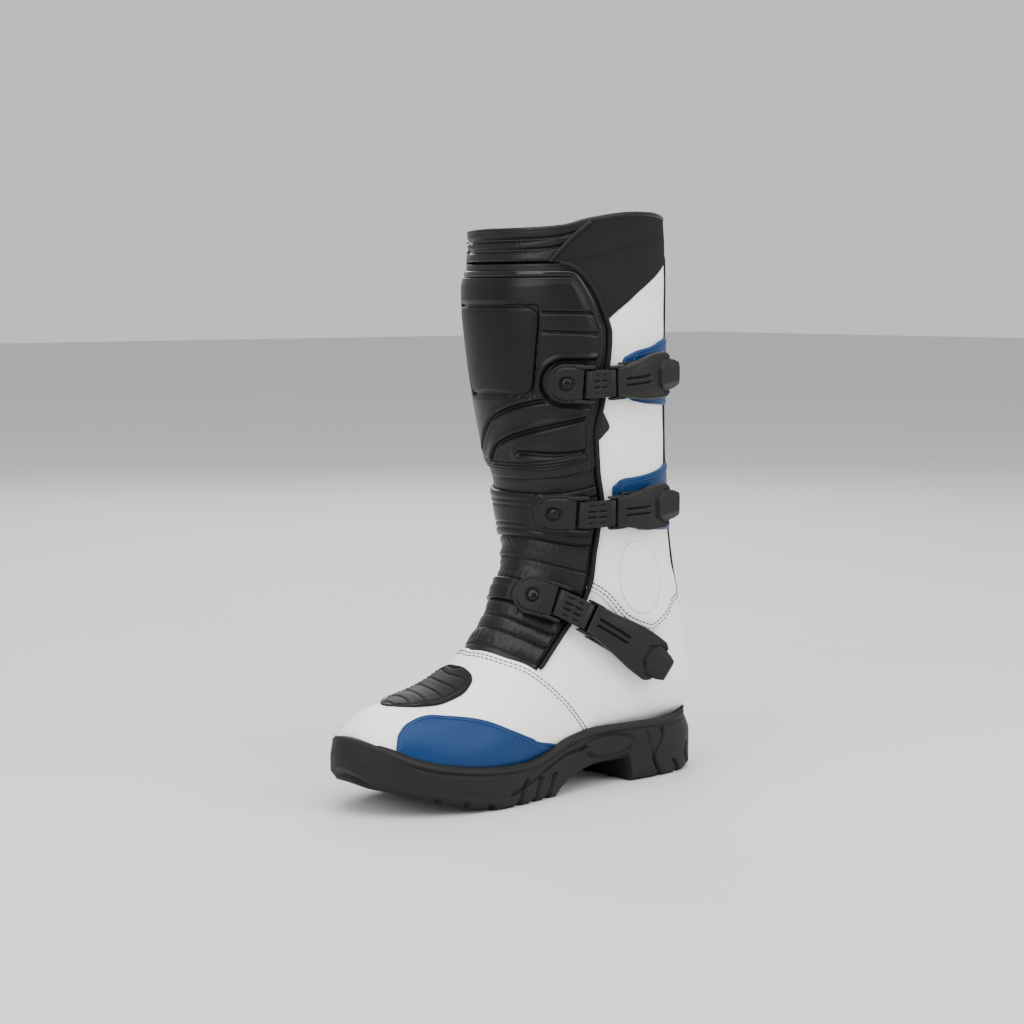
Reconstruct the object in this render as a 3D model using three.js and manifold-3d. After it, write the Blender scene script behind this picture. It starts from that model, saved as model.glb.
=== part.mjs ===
// A left motorcycle boot: lugged rubber sole, leather upper, armoured front flap and three lever buckles.
// Millimetres. +Z is up, the toe points to -X, the outer side with the buckles faces -Y.
// Every leather, foam and plastic layer follows one surface, skinPoint(t, phi): t runs from the toe
// tip (0) over the instep to the shaft's rim (1), and phi, in degrees, runs round the leg or foot from the
// front or top line (0) over the outer side (+90) to the back or bottom line (180); the inner side is
// negative.
import * as THREE from "three";
import { mergeVertices } from "three/addons/utils/BufferGeometryUtils.js";
import Module from "manifold-3d";

const wasm = await Module();
wasm.setup();

// ---------------------------------------------------------------- driving dimensions
const RIM_FRONT = 0.987; // t of the shaft's top edge at the front
const VAMP_T = 0.353; // t of the seam between vamp and bellows on the front line
const PLATE_LOW = 0.702; // t of the shin plate's lower edge on the front line
const COLLAR_LOW = 0.946; // t of the padded collar's lower edge
const SEAM_GAP_T = 0.0025; // half the gap between two panels, in t
const SEAM_GAP_PHI = 0.8; // half the gap between two panels, in degrees

// layers as [inner, outer] distances from the skin
const LINER = [-9.6, -6];
const STIFFENER = [-4.2, -3];
const GUSSET = [-4.6, -3.6];
const LEATHER = [-1.6, 0];
const OVERLAY = [1.1, 2.6];
const FLAP_BASE = [-1.6, 0.6];
const FLAP_RIB = [-0.5, 4.2];
const FLAP_BAND = [1.4, 4.2];
const PLATE = [1.4, 4.3];

// seams across the bellows, as t on the front line; between them lie the foam ribs and the strap bands
const RIB_SEAMS = [0.697, 0.677, 0.599, 0.558, 0.517, 0.468, 0.437, 0.408, 0.372];
const BAND_MID = 1; // index of the rib that is the middle strap's band
const BAND_LOW = 4;
const SEAM_RISE = 0.036; // how far a seam rises in t from the front line to 60 degrees

// buckles: paths over the skin from the rivet to the lever's tip, as [t, phi]
const BUCKLES = [
  { name: "top", path: [[0.819, 50], [0.821, 65], [0.827, 85], [0.834, 105], [0.837, 120]] },
  { name: "mid", path: [[0.662, 36], [0.682, 60], [0.704, 82], [0.722, 102], [0.732, 118]] },
  { name: "low", path: [[0.498, 27], [0.512, 44], [0.522, 62], [0.53, 79], [0.534, 97]] },
];
const BRIDGE_LENGTH = [13.5, 17, 17]; // rivet to hinge pin, for each buckle
const STRAP_LENGTH = [16, 20, 21]; // hinge pin to lever pin
const BRIDGE_HALF_WIDTH = 13.5;
const STRAP_HALF_WIDTH = 9.5;
const LEVER_HALF_WIDTH = 16;
const LEVER_NECK = 11.8; // half width of the lever at its pin
const LEVER_RUN = 16; // length before the tip by which the lever has its full width
const BRIDGE_LIFT = [6, 9.4]; // distances from the skin
const STRAP_LIFT = [7.6, 10];
const PIN_LIFT = 8.8;
const PIN_RADIUS = 1.1;
const PIN_BORE = 1.5;
const PIN_BOSS = 2.6; // radius of the strap's rolled ends
const HINGE_PIN_HALF = 13.4; // half lengths of the pins
const LEVER_PIN_HALF = 11.7;
const BORE_HALF = 20; // half length of the tool that bores a pin hole
const CATCH_LIFT = [3.4, 5.2];
const CATCH_HALF_WIDTH = 12.5;
const LEVER_LIFT = [7.8, 13.4];
const LEVER_ROOT = 10.6; // underside of the lever beside its pin, clear of the strap
const CAP_START = -19; // the lever's cap, from the path's end
const CAP_END = 7;
const CAP_HALF_WIDTH = [12.5, 7.5];
const CAP_LIFT = [8, 16, 12.5]; // underneath, top at its start, top at its end
const RIVET_SHANK = 2.5;
const RIVET_HEAD = 4.1;
const RIVET_BORE = 3;

// sections of the upper, toe to rim: front or top point, back or bottom point, half widths outside and
// inside, sideways shift, height of the widest line as a share, roundness of the front and of the back half
const SECTIONS = [
  [-136.5, 46, -136.5, 44, 3, 3, 6, 0.5, 2.0, 2.0],
  [-132.5, 55.5, -134, 31, 22, 21, 6, 0.42, 2.0, 2.4],
  [-123, 63.5, -124, 25, 34, 33, 5, 0.36, 2.0, 2.7],
  [-107, 69.5, -109, 21, 43.5, 42, 4, 0.32, 2.0, 3.0],
  [-86, 74, -86, 18, 49.5, 47.5, 2, 0.3, 2.0, 3.2],
  [-65, 81, -58, 17, 51, 47.5, 0, 0.3, 2.0, 3.2],
  [-47, 91.5, -24, 18, 48.5, 44, 0, 0.31, 2.0, 3.2],
  [-32, 104, 14, 24, 44, 40.5, 0, 0.33, 2.05, 3.0],
  [-19, 119, 52, 29, 42, 40, 0, 0.36, 2.1, 2.8],
  [-10, 135, 98, 31, 42, 42, 0, 0.4, 2.15, 2.6],
  [-2.5, 152, 147, 38, 44, 44, 0, 0.44, 2.2, 2.4],
  [2.5, 170, 156, 66, 47, 47, 0, 0.47, 2.2, 2.2],
  [2.5, 190, 147.5, 105, 49, 49, 0, 0.5, 2.2, 2.15],
  [-1, 213, 136, 145, 52, 52, 0, 0.5, 2.2, 2.1],
  [-5, 240, 127.5, 190, 55, 55, 0, 0.5, 2.2, 2.1],
  [-11, 270, 123, 240, 58.5, 58.5, 0, 0.5, 2.2, 2.1],
  [-17, 305, 121, 292, 61.5, 61, 0, 0.5, 2.2, 2.1],
  [-21, 340, 121, 338, 63, 62, 0, 0.5, 2.2, 2.1],
  [-21, 368, 120.5, 371, 63, 61, 0, 0.5, 2.2, 2.1],
  [-20, 396, 118.5, 406, 62, 60, 0, 0.5, 2.2, 2.1],
];

// ---------------------------------------------------------------- materials
const material = (color, roughness, metalness = 0) =>
  new THREE.MeshStandardMaterial({ color, roughness, metalness });
const WHITE_LEATHER = material(0xe4e3de, 0.5);
const BLUE_LEATHER = material(0x0d4a86, 0.5);
const BLACK_LEATHER = material(0x141414, 0.45);
const BLACK_TEXTILE = material(0x1b1b1b, 0.9);
const BLACK_PLASTIC = material(0x232422, 0.5);
const BLACK_RUBBER = material(0x1e1e1e, 0.75);
const STEEL = material(0x8a8c8e, 0.35, 1);
const LINING = material(0x2a2a2c, 0.95);

// ---------------------------------------------------------------- the skin
const degrees = THREE.MathUtils.degToRad;
const lerp = THREE.MathUtils.lerp;

// Catmull-Rom interpolation of one column of a table whose rows are evenly spaced in t
function column(table, index, t) {
  const last = table.length - 1;
  const at = THREE.MathUtils.clamp(t, 0, 1) * last;
  const i = Math.min(Math.floor(at), last - 1);
  const f = at - i;
  const value = (k) => table[k][index];
  const p1 = value(i);
  const p2 = value(i + 1);
  const p0 = i > 0 ? value(i - 1) : 2 * p1 - p2;
  const p3 = i < last - 1 ? value(i + 2) : 2 * p2 - p1;
  const cubic = (3 * p1 - p0 - 3 * p2 + p3) * f ** 3;
  return 0.5 * (2 * p1 + (p2 - p0) * f + (2 * p0 - 5 * p1 + 4 * p2 - p3) * f * f + cubic);
}

function skinPoint(t, phi) {
  const here = SECTIONS[0].map((_, index) => column(SECTIONS, index, t));
  const [fx, fz, bx, bz, outside, inside, shift, widest, frontPower, backPower] = here;
  const c = Math.cos(degrees(phi));
  const s = Math.sin(degrees(phi));
  const power = 2 / (c >= 0 ? frontPower : backPower);
  const along = Math.sign(c) * Math.abs(c) ** power;
  const across = Math.sign(s) * Math.abs(s) ** power;
  const share = widest + (c >= 0 ? 1 - widest : widest) * along;
  return new THREE.Vector3(
    lerp(bx, fx, share),
    shift - (s >= 0 ? outside : inside) * across,
    lerp(bz, fz, share),
  );
}

// outward normal of the skin
function skinNormal(t, phi) {
  const step = 1e-3;
  const alongT = skinPoint(Math.min(t + step, 1), phi).sub(skinPoint(Math.max(t - step, 0), phi));
  const alongPhi = skinPoint(t, phi + 0.1).sub(skinPoint(t, phi - 0.1));
  return alongPhi.cross(alongT).normalize();
}

const offsetPoint = (t, phi, distance) => skinPoint(t, phi).addScaledVector(skinNormal(t, phi), distance);

// smooth function through [input, output] pairs that never overshoots them
function curveThrough(pairs) {
  const last = pairs.length - 1;
  const rise = pairs.slice(1).map(([x, y], i) => (y - pairs[i][1]) / (x - pairs[i][0]));
  const slope = (i) => {
    const [a, b] = [rise[Math.max(i - 1, 0)], rise[Math.min(i, last - 1)]];
    return a * b > 0 ? (2 * a * b) / (a + b) : 0;
  };
  return (x) => {
    if (x <= pairs[0][0]) return pairs[0][1];
    if (x >= pairs[last][0]) return pairs[last][1];
    const i = pairs.findIndex((_, k) => x < pairs[k + 1][0]);
    const [x1, y1] = pairs[i];
    const [x2, y2] = pairs[i + 1];
    const h = x2 - x1;
    const f = (x - x1) / h;
    const ends = (2 * f ** 3 - 3 * f * f + 1) * y1 + (3 * f * f - 2 * f ** 3) * y2;
    return ends + (f ** 3 - 2 * f * f + f) * slope(i) * h + (f ** 3 - f * f) * slope(i + 1) * h;
  };
}
const mirrored = (curve) => (phi) => curve(Math.abs(phi));

// panel boundaries: t as a function of phi, or phi as a function of t
const rimOuter = curveThrough([
  [0, RIM_FRONT], [30, RIM_FRONT], [50, 0.9885], [68, 0.9955], [90, 0.999], [110, 0.997], [140, 0.99],
  [180, 0.986],
]);
const rimInner = curveThrough([[0, RIM_FRONT], [30, 0.985], [60, 0.981], [130, 0.981], [180, 0.986]]);
// the shaft's upper edge is lower on the inner side; phi may run past 180
const rim = (phi) => {
  const around = phi > 180 ? phi - 360 : phi;
  return around < 0 ? rimInner(-around) : rimOuter(around);
};
const vampSeam = mirrored(
  curveThrough([
    [0, VAMP_T], [30, 0.37], [50, 0.391], [70, 0.404], [90, 0.413], [115, 0.418], [140, 0.425],
  ]),
);
const quarterSeam = mirrored(
  curveThrough([
    [50, 0.562], [64, 0.566], [78, 0.556], [92, 0.568], [101, 0.588], [114, 0.614], [124, 0.633],
    [150, 0.651], [180, 0.657],
  ]),
);
const calfSeam = mirrored(
  curveThrough([[70, 0.868], [87, 0.891], [99, 0.908], [124, 0.933], [150, 0.95], [180, 0.955]]),
);
const flapEdge = curveThrough([
  [0.36, 58], [0.405, 57], [0.451, 55], [0.5, 54], [0.59, 58], [0.664, 65], [0.704, 69], [0.736, 67.6],
  [0.768, 67.6], [0.812, 73.6], [0.867, 78.5], [0.88, 76.4], [0.918, 66.8], [0.939, 57], [0.946, 46],
]);
const collarSeam = curveThrough([[0.944, 42], [0.96, 49], [0.976, 57], [0.99, 66], [1, 72]]);
const ribSeam = (seam) => (phi) => seam + SEAM_RISE * (phi / 60) ** 2;

// ---------------------------------------------------------------- solids
function geometryFrom(points, faces) {
  const geometry = new THREE.BufferGeometry().setFromPoints(points);
  geometry.setIndex(faces.flat());
  const merged = mergeVertices(geometry, 1e-4);
  merged.computeVertexNormals();
  return merged;
}

// A closed shell between two distances from the skin. low and high give t for a phi, front and back give phi
// for a t, and the four sides meet at the corners. taper narrows the outer face by about that many
// millimetres, for panels of the usual size.
const TAPER_ACROSS = 100;
const TAPER_ALONG = 25;
function shell({ low, high, front, back, layer, nu, nv, closed = false, taper = 0 }) {
  const points = [];
  const faces = [];
  const guess = 0.7; // a t in the middle of the shaft, to start the search from
  const passes = 30;
  const place = (u, v, distance) => {
    let phi = lerp(front(guess), back(guess), u);
    let t = lerp(low(phi), high(phi), v);
    for (let pass = 0; pass < passes; pass++) {
      phi = lerp(phi, lerp(front(t), back(t), u), 0.5);
      t = lerp(low(phi), high(phi), v);
    }
    return offsetPoint(t, phi, distance);
  };
  for (const [side, distance] of layer.entries()) {
    for (let j = 0; j <= nv; j++) {
      for (let i = 0; i <= nu; i++) {
        const insetU = side ? taper / TAPER_ACROSS : 0;
        const insetV = side ? taper / TAPER_ALONG : 0;
        const u = closed ? i / nu : lerp(insetU, 1 - insetU, i / nu);
        points.push(place(u, lerp(insetV, 1 - insetV, j / nv), distance));
      }
    }
  }
  const row = nu + 1;
  const outer = row * (nv + 1);
  const quad = (a, b, c, d) => faces.push([a, b, c], [a, c, d]);
  for (let j = 0; j < nv; j++) {
    for (let i = 0; i < nu; i++) {
      const a = j * row + i;
      quad(a, a + row, a + row + 1, a + 1);
      quad(outer + a, outer + a + 1, outer + a + row + 1, outer + a + row);
    }
  }
  for (let i = 0; i < nu; i++) {
    const top = nv * row + i;
    quad(i, i + 1, outer + i + 1, outer + i);
    quad(top, outer + top, outer + top + 1, top + 1);
  }
  for (let j = 0; j < nv && !closed; j++) {
    const a = j * row;
    const b = a + nu;
    quad(a, outer + a, outer + a + row, a + row);
    quad(b, b + row, outer + b + row, outer + b);
  }
  return geometryFrom(points, faces);
}

// the whole skin at one distance as a closed volume, up to a given t
function skinVolume(distance, top, nu, nv) {
  const points = [];
  const faces = [];
  for (let j = 0; j <= nv; j++) {
    for (let i = 0; i < nu; i++) {
      points.push(offsetPoint((j / nv) * top, (i / nu) * 360 - 180, distance));
    }
  }
  const middle = (t) => skinPoint(t, 0).add(skinPoint(t, 180)).multiplyScalar(0.5);
  const toe = points.push(middle(0)) - 1;
  const end = points.push(middle(top)) - 1;
  for (let i = 0; i < nu; i++) {
    const next = (i + 1) % nu;
    faces.push([toe, next, i], [end, nv * nu + i, nv * nu + next]);
    for (let j = 0; j < nv; j++) {
      const a = j * nu;
      faces.push([a + i, a + next, a + nu + next], [a + i, a + nu + next, a + nu + i]);
    }
  }
  return geometryFrom(points, faces);
}

function toManifold(geometry) {
  const plain = new THREE.BufferGeometry().setAttribute("position", geometry.getAttribute("position"));
  if (geometry.index) plain.setIndex(geometry.index);
  const merged = mergeVertices(plain, 1e-4);
  const mesh = new wasm.Mesh({
    numProp: 3,
    vertProperties: merged.getAttribute("position").array,
    triVerts: new Uint32Array(merged.index.array),
  });
  return new wasm.Manifold(mesh);
}

function fromManifold(solid) {
  const { numProp, numVert, vertProperties, triVerts } = solid.getMesh();
  const positions = new Float32Array(numVert * 3);
  for (let i = 0; i < numVert; i++) {
    positions.set(vertProperties.subarray(i * numProp, i * numProp + 3), i * 3);
  }
  const geometry = new THREE.BufferGeometry();
  geometry.setAttribute("position", new THREE.BufferAttribute(positions, 3));
  geometry.setIndex(new THREE.BufferAttribute(triVerts, 1));
  geometry.computeVertexNormals();
  return geometry;
}

const cut = (body, ...tools) =>
  fromManifold(tools.reduce((solid, tool) => solid.subtract(toManifold(tool)), toManifold(body)));
const join = (...bodies) =>
  fromManifold(bodies.map(toManifold).reduce((solid, next) => solid.add(next)));

const boot = new THREE.Group();
function add(name, geometry, finish) {
  const mesh = new THREE.Mesh(geometry, finish);
  mesh.name = name;
  boot.add(mesh);
}

const fixed = (value) => () => value;
const below = (curve) => (phi) => curve(phi) - SEAM_GAP_T;
const above = (curve) => (phi) => curve(phi) + SEAM_GAP_T;

// ---------------------------------------------------------------- sole
// plan outline of the sole as matching outer and inner points from toe to heel: x, outer y, inner y
const SOLE_PLAN = [
  [-143.5, 2, 10], [-141.5, -11, 20], [-135, -24, 30], [-124, -36.5, 39], [-106, -48, 47], [-84, -55, 51.5],
  [-60, -57.5, 52], [-35, -55.5, 48], [-10, -51, 43.5], [15, -47, 41.5], [45, -44.5, 41.5], [75, -44, 43],
  [105, -43.5, 43.5], [130, -38.5, 38.5], [146, -28, 28], [154, -14.5, 14.5], [156.5, -4, 4],
];
const soleTop = curveThrough([
  [-144, 56], [-132, 49], [-118, 40], [-100, 34.5], [-60, 29], [-30, 28], [-5, 33], [15, 39.5], [45, 42],
  [100, 41], [157, 46],
]);
const soleBottom = curveThrough([
  [-144, 25], [-132, 18], [-110, 11], [-88, 6], [-68, 2], [-52, 0], [157, 0],
]);
const EDGE_OVERLAP = 2; // how far above the sole's edge the patches on the leather end
// phi at which the skin comes out of the sole, on the outer side
function soleEdge(t) {
  let [high, low] = [60, 130];
  for (let pass = 0; pass < 24; pass++) {
    const middle = (high + low) / 2;
    const { x, z } = skinPoint(t, middle);
    if (z > soleTop(x) + EDGE_OVERLAP) high = middle;
    else low = middle;
  }
  return high;
}
const TREAD_BEVEL = 4;
const TREAD_WALL = 7; // height over which the bevel runs out
const TOP_INSET = 1.2;
const TOE_PART = -100; // the sole's ends, beyond these x, are drawn in as well as its sides
const HEEL_PART = 140;
const SOLE_MIDDLE = 6; // y of the sole's middle line
const FOREFOOT_GROOVE = { width: 4.5, length: 44, depth: 7, y: 42, turn: 14 };
const HEEL_GROOVE = { width: 5, length: 36, depth: 9, y: 40, turn: 8 };
const LONG_GROOVE = { width: 110, length: 5, depth: 5, x: -56, z: 3 };
const SEAT_GAP = 1.5; // clearance between the leather and the rubber
const ARCH_OUTLINE = [[2, -5], [5, 3], [16, 10], [30, 15], [46, 17.5], [70, 17.5], [76, -5]];
const FOREFOOT_GROOVES = [-104, -84, -64, -44, -25, -9];
const HEEL_GROOVES = [96, 118, 138];

// a solid from stacked rings, each a list of matching outer and inner points
function ladder(rings) {
  const points = rings.flat();
  const faces = [];
  const count = rings[0].length; // outer points then inner points
  const half = count / 2;
  const around = [...Array(half).keys(), ...[...Array(half).keys()].map((i) => count - 1 - i)];
  rings.slice(1).forEach((_, k) => {
    around.forEach((a, i) => {
      const b = around[(i + 1) % count];
      const low = k * count;
      faces.push([low + a, low + b, low + count + b], [low + a, low + count + b, low + count + a]);
    });
  });
  for (let i = 0; i < half - 1; i++) {
    const top = (rings.length - 1) * count;
    faces.push([i, half + i, half + i + 1], [i, half + i + 1, i + 1]);
    faces.push([top + i, top + i + 1, top + half + i + 1], [top + i, top + half + i + 1, top + half + i]);
  }
  return geometryFrom(points, faces);
}

function soleRing(inset, height) {
  const edge = (y, x) => {
    const shrink = Math.max(Math.abs(y) - inset, 1) / Math.max(Math.abs(y), 1);
    let pull = 0;
    if (x < TOE_PART) pull = -inset;
    if (x > HEEL_PART) pull = inset;
    return new THREE.Vector3(x - pull, y * shrink, height(x));
  };
  const rows = [];
  SOLE_PLAN.slice(1).forEach((row, k) => {
    for (let i = 0; i < 2; i++) rows.push(row.map((_, c) => lerp(SOLE_PLAN[k][c], row[c], i / 2)));
  });
  rows.push(SOLE_PLAN[SOLE_PLAN.length - 1]);
  const outer = rows.map(([x, y]) => edge(Math.min(y, SOLE_MIDDLE - 1), x));
  const inner = rows.map(([x, , y]) => edge(y, x));
  return [...outer, ...inner];
}

function box(width, depth, height, x, y, z, turn = 0) {
  return new THREE.BoxGeometry(width, depth, height).rotateZ(degrees(turn)).translate(x, y, z);
}

function outsole() {
  const block = ladder([
    soleRing(TREAD_BEVEL, soleBottom),
    soleRing(0.5, (x) => soleBottom(x) + TREAD_WALL),
    soleRing(0, (x) => lerp(soleBottom(x) + TREAD_WALL, soleTop(x), 0.45)),
    soleRing(TOP_INSET, soleTop),
  ]);
  const archShape = new THREE.Shape(ARCH_OUTLINE.map(([x, z]) => new THREE.Vector2(x, z)));
  const across = 140;
  const arch = new THREE.ExtrudeGeometry(archShape, { depth: across, bevelEnabled: false })
    .rotateX(Math.PI / 2)
    .translate(0, across / 2, 0);
  const grooves = [];
  for (const side of [-1, 1]) {
    for (const [places, { width, length, depth, y, turn }] of [
      [FOREFOOT_GROOVES, FOREFOOT_GROOVE],
      [HEEL_GROOVES, HEEL_GROOVE],
    ]) {
      for (const x of places) {
        grooves.push(box(width, length, 2 * depth, x, side * y, soleBottom(x), side * turn));
      }
    }
  }
  const { width, length, depth, x, z } = LONG_GROOVE;
  grooves.push(box(width, length, 2 * depth, x, 0, z));
  return cut(block, arch, ...grooves, skinVolume(SEAT_GAP, 0.62, 30, 28));
}

add("outsole", outsole(), BLACK_RUBBER);
const underfoot = { front: fixed(139), back: fixed(221) };
add(
  "lasting_board",
  shell({ ...underfoot, low: fixed(0.07), high: fixed(0.488), layer: [-2, -0.3], nu: 4, nv: 10 }),
  LINING,
);
const shankSpan = { front: fixed(170), back: fixed(190), low: fixed(0.28), high: fixed(0.48) };
add("shank", shell({ ...shankSpan, layer: [-4.4, -3.2], nu: 2, nv: 6 }), STEEL);
const insoleSpan = { front: fixed(150), back: fixed(210), low: fixed(0.14), high: fixed(0.5) };
add("insole", shell({ ...insoleSpan, layer: [-13.8, -11], nu: 4, nv: 10 }), LINING);

// ---------------------------------------------------------------- upper
const LASTED = 134; // the side panels are turned under the foot to this phi
const INNER_PATCH_SHIFT = 16; // degrees by which the inner side's toe patch stays lower
add(
  "vamp",
  shell({
    front: fixed(-LASTED),
    back: fixed(LASTED),
    low: fixed(0.012),
    high: below(vampSeam),
    layer: LEATHER,
    nu: 16,
    nv: 9,
  }),
  WHITE_LEATHER,
);
add(
  "toe_stiffener",
  shell({
    front: fixed(-120),
    back: fixed(120),
    low: fixed(0.03),
    high: fixed(0.2),
    layer: STIFFENER,
    nu: 10,
    nv: 4,
  }),
  BLACK_PLASTIC,
);

for (const [side, sign] of [["outer", 1], ["inner", -1]]) {
  const span = (from, to) =>
    sign > 0 ? { front: from, back: to } : { front: (t) => -to(t), back: (t) => -from(t) };
  const quarterBack = curveThrough([[0.44, LASTED], [0.49, LASTED], [0.548, 175], [0.68, 175]]);
  add(
    `quarter_${side}`,
    shell({
      ...span((t) => flapEdge(t) - SEAM_GAP_PHI, quarterBack),
      low: above(vampSeam),
      high: below(quarterSeam),
      layer: LEATHER,
      nu: 8,
      nv: 12,
    }),
    WHITE_LEATHER,
  );
  add(
    `shaft_panel_${side}`,
    shell({
      ...span((t) => flapEdge(t) - SEAM_GAP_PHI, fixed(175)),
      low: above(quarterSeam),
      high: below(calfSeam),
      layer: LEATHER,
      nu: 8,
      nv: 8,
    }),
    WHITE_LEATHER,
  );
  add(
    `ankle_disc_${side}`,
    shell({
      ...span(fixed(72), fixed(108)),
      low: fixed(0.585),
      high: fixed(0.665),
      layer: STIFFENER,
      nu: 4,
      nv: 4,
    }),
    BLACK_PLASTIC,
  );
  const patchFront = curveThrough([
    [0.1, 84], [0.119, 54], [0.15, 41], [0.184, 37], [0.219, 44], [0.26, 56], [0.301, 75], [0.335, 95],
    [0.345, 103],
  ]);
  const patchEdge = (t) => patchFront(t) + (sign > 0 ? 0 : INNER_PATCH_SHIFT);
  add(
    `toe_patch_${side}`,
    shell({
      ...span(patchEdge, soleEdge),
      low: fixed(sign > 0 ? 0.104 : 0.125),
      high: fixed(0.336),
      layer: OVERLAY,
      nu: 4,
      nv: 10,
    }),
    BLUE_LEATHER,
  );
}
add(
  "heel_counter",
  shell({
    front: fixed(114),
    back: fixed(246),
    low: fixed(0.552),
    high: fixed(0.64),
    layer: STIFFENER,
    nu: 10,
    nv: 6,
  }),
  BLACK_PLASTIC,
);
add(
  "back_stay",
  shell({
    front: fixed(176.6),
    back: fixed(183.4),
    low: fixed(0.648),
    high: fixed(0.948),
    layer: [-1.6, 1.2],
    nu: 2,
    nv: 12,
  }),
  BLACK_LEATHER,
);
add(
  "calf_panel",
  shell({
    front: (t) => (t > COLLAR_LOW ? collarSeam(t) : flapEdge(t)) + SEAM_GAP_PHI,
    back: (t) => 360 - (t > COLLAR_LOW ? collarSeam(t) : flapEdge(t)) - SEAM_GAP_PHI,
    low: (phi) => above(calfSeam)(phi > 180 ? 360 - phi : phi),
    high: rim,
    layer: [-2.2, 0],
    nu: 18,
    nv: 5,
  }),
  BLACK_TEXTILE,
);
add(
  "collar_pad",
  shell({
    front: (t) => -collarSeam(t) + SEAM_GAP_PHI,
    back: (t) => collarSeam(t) - SEAM_GAP_PHI,
    low: fixed(COLLAR_LOW + 0.002),
    high: rim,
    layer: [-2.2, 2.2],
    nu: 10,
    nv: 3,
    taper: 0.6,
  }),
  BLACK_LEATHER,
);
add(
  "liner",
  shell({
    front: fixed(-180),
    back: fixed(180),
    low: fixed(0.1),
    high: (phi) => rim(phi) - 0.004,
    layer: LINER,
    nu: 18,
    nv: 20,
    closed: true,
  }),
  LINING,
);
add(
  "tongue_gusset",
  shell({
    front: fixed(-50),
    back: fixed(50),
    low: fixed(0.375),
    high: fixed(0.93),
    layer: GUSSET,
    nu: 6,
    nv: 13,
  }),
  BLACK_TEXTILE,
);
const shiftPadEdge = curveThrough([
  [0.152, 4], [0.166, 15], [0.191, 23.5], [0.228, 29], [0.258, 29], [0.291, 25.6], [0.304, 20], [0.309, 9],
]);
add(
  "shift_pad",
  shell({
    front: (t) => -shiftPadEdge(t),
    back: shiftPadEdge,
    low: fixed(0.152),
    high: fixed(0.309),
    layer: [0.8, 3.2],
    nu: 5,
    nv: 6,
    taper: 0.8,
  }),
  BLACK_LEATHER,
);
// blue patches behind the levers: lower and upper edges, and phi of the front end
const STRAP_PATCHES = [
  {
    name: "strap_patch_top",
    low: [[80, 0.812], [99, 0.811], [124, 0.813], [150, 0.815]],
    high: [[80, 0.843], [88, 0.847], [96, 0.853], [111, 0.858], [124, 0.863], [150, 0.868]],
    front: 86,
  },
  {
    name: "strap_patch_mid",
    low: [[74, 0.679], [81, 0.684], [95, 0.694], [127, 0.711], [150, 0.72]],
    high: [[74, 0.715], [78, 0.725], [83, 0.735], [97, 0.747], [127, 0.765], [150, 0.775]],
    front: 77,
  },
];
for (const { name, low, high, front } of STRAP_PATCHES) {
  const edges = { low: curveThrough(low), high: curveThrough(high) };
  add(
    name,
    shell({ ...edges, front: fixed(front), back: fixed(150), layer: OVERLAY, nu: 7, nv: 3 }),
    BLUE_LEATHER,
  );
}

// ---------------------------------------------------------------- front flap
const FLAP_MARGIN = 2.4; // degrees between the flap's panels and the binding on its edge
const flapSpan = (margin) => ({
  front: (t) => -flapEdge(t) + margin,
  back: (t) => flapEdge(t) - margin,
});
const bellowsBase = shell({
  ...flapSpan(FLAP_MARGIN),
  low: above(vampSeam),
  high: below(ribSeam(RIB_SEAMS[0])),
  layer: FLAP_BASE,
  nu: 8,
  nv: 12,
});
const flapBand = (index, layer, taper) =>
  shell({
    ...flapSpan(FLAP_MARGIN + 2),
    low: above(ribSeam(RIB_SEAMS[index + 1])),
    high: below(ribSeam(RIB_SEAMS[index])),
    layer,
    nu: 8,
    nv: 1,
    taper,
  });
const isBand = (index) => index === BAND_MID || index === BAND_LOW;
const ribs = RIB_SEAMS.slice(1)
  .map((_, index) => index)
  .filter((index) => !isBand(index))
  .map((index) => flapBand(index, FLAP_RIB, 3));
add("bellows_panel", join(bellowsBase, ...ribs), BLACK_LEATHER);
add("strap_band_mid", flapBand(BAND_MID, FLAP_BAND, 1), BLACK_PLASTIC);
add("strap_band_low", flapBand(BAND_LOW, FLAP_BAND, 1), BLACK_PLASTIC);
add(
  "flap_base",
  shell({
    ...flapSpan(FLAP_MARGIN),
    low: above(ribSeam(RIB_SEAMS[0])),
    high: fixed(0.9435),
    layer: FLAP_BASE,
    nu: 8,
    nv: 7,
  }),
  BLACK_LEATHER,
);

const plateLow = (phi) => ribSeam(PLATE_LOW)(phi) + 0.004;
const shinPlate = shell({
  ...flapSpan(FLAP_MARGIN + 2.5),
  low: plateLow,
  high: fixed(0.9355),
  layer: PLATE,
  nu: 10,
  nv: 9,
});
const insertEdge = curveThrough([[0.8, 27], [0.82, 30], [0.85, 33], [0.88, 35.5], [0.9, 35]]);
// the insert, or with a gap in degrees round it the window in the plate
function insertShell(layer, gap) {
  const gapT = gap * 0.003;
  return shell({
    front: (t) => -insertEdge(t) - gap,
    back: (t) => insertEdge(t) + gap,
    low: fixed(0.802 - gapT),
    high: fixed(0.891 + gapT),
    layer,
    nu: 8,
    nv: 5,
  });
}
add("shin_plate", cut(shinPlate, insertShell([0, 7], 0.7)), BLACK_PLASTIC);
add("shin_insert", insertShell([1.4, 4.9], 0), BLACK_PLASTIC);

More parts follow.
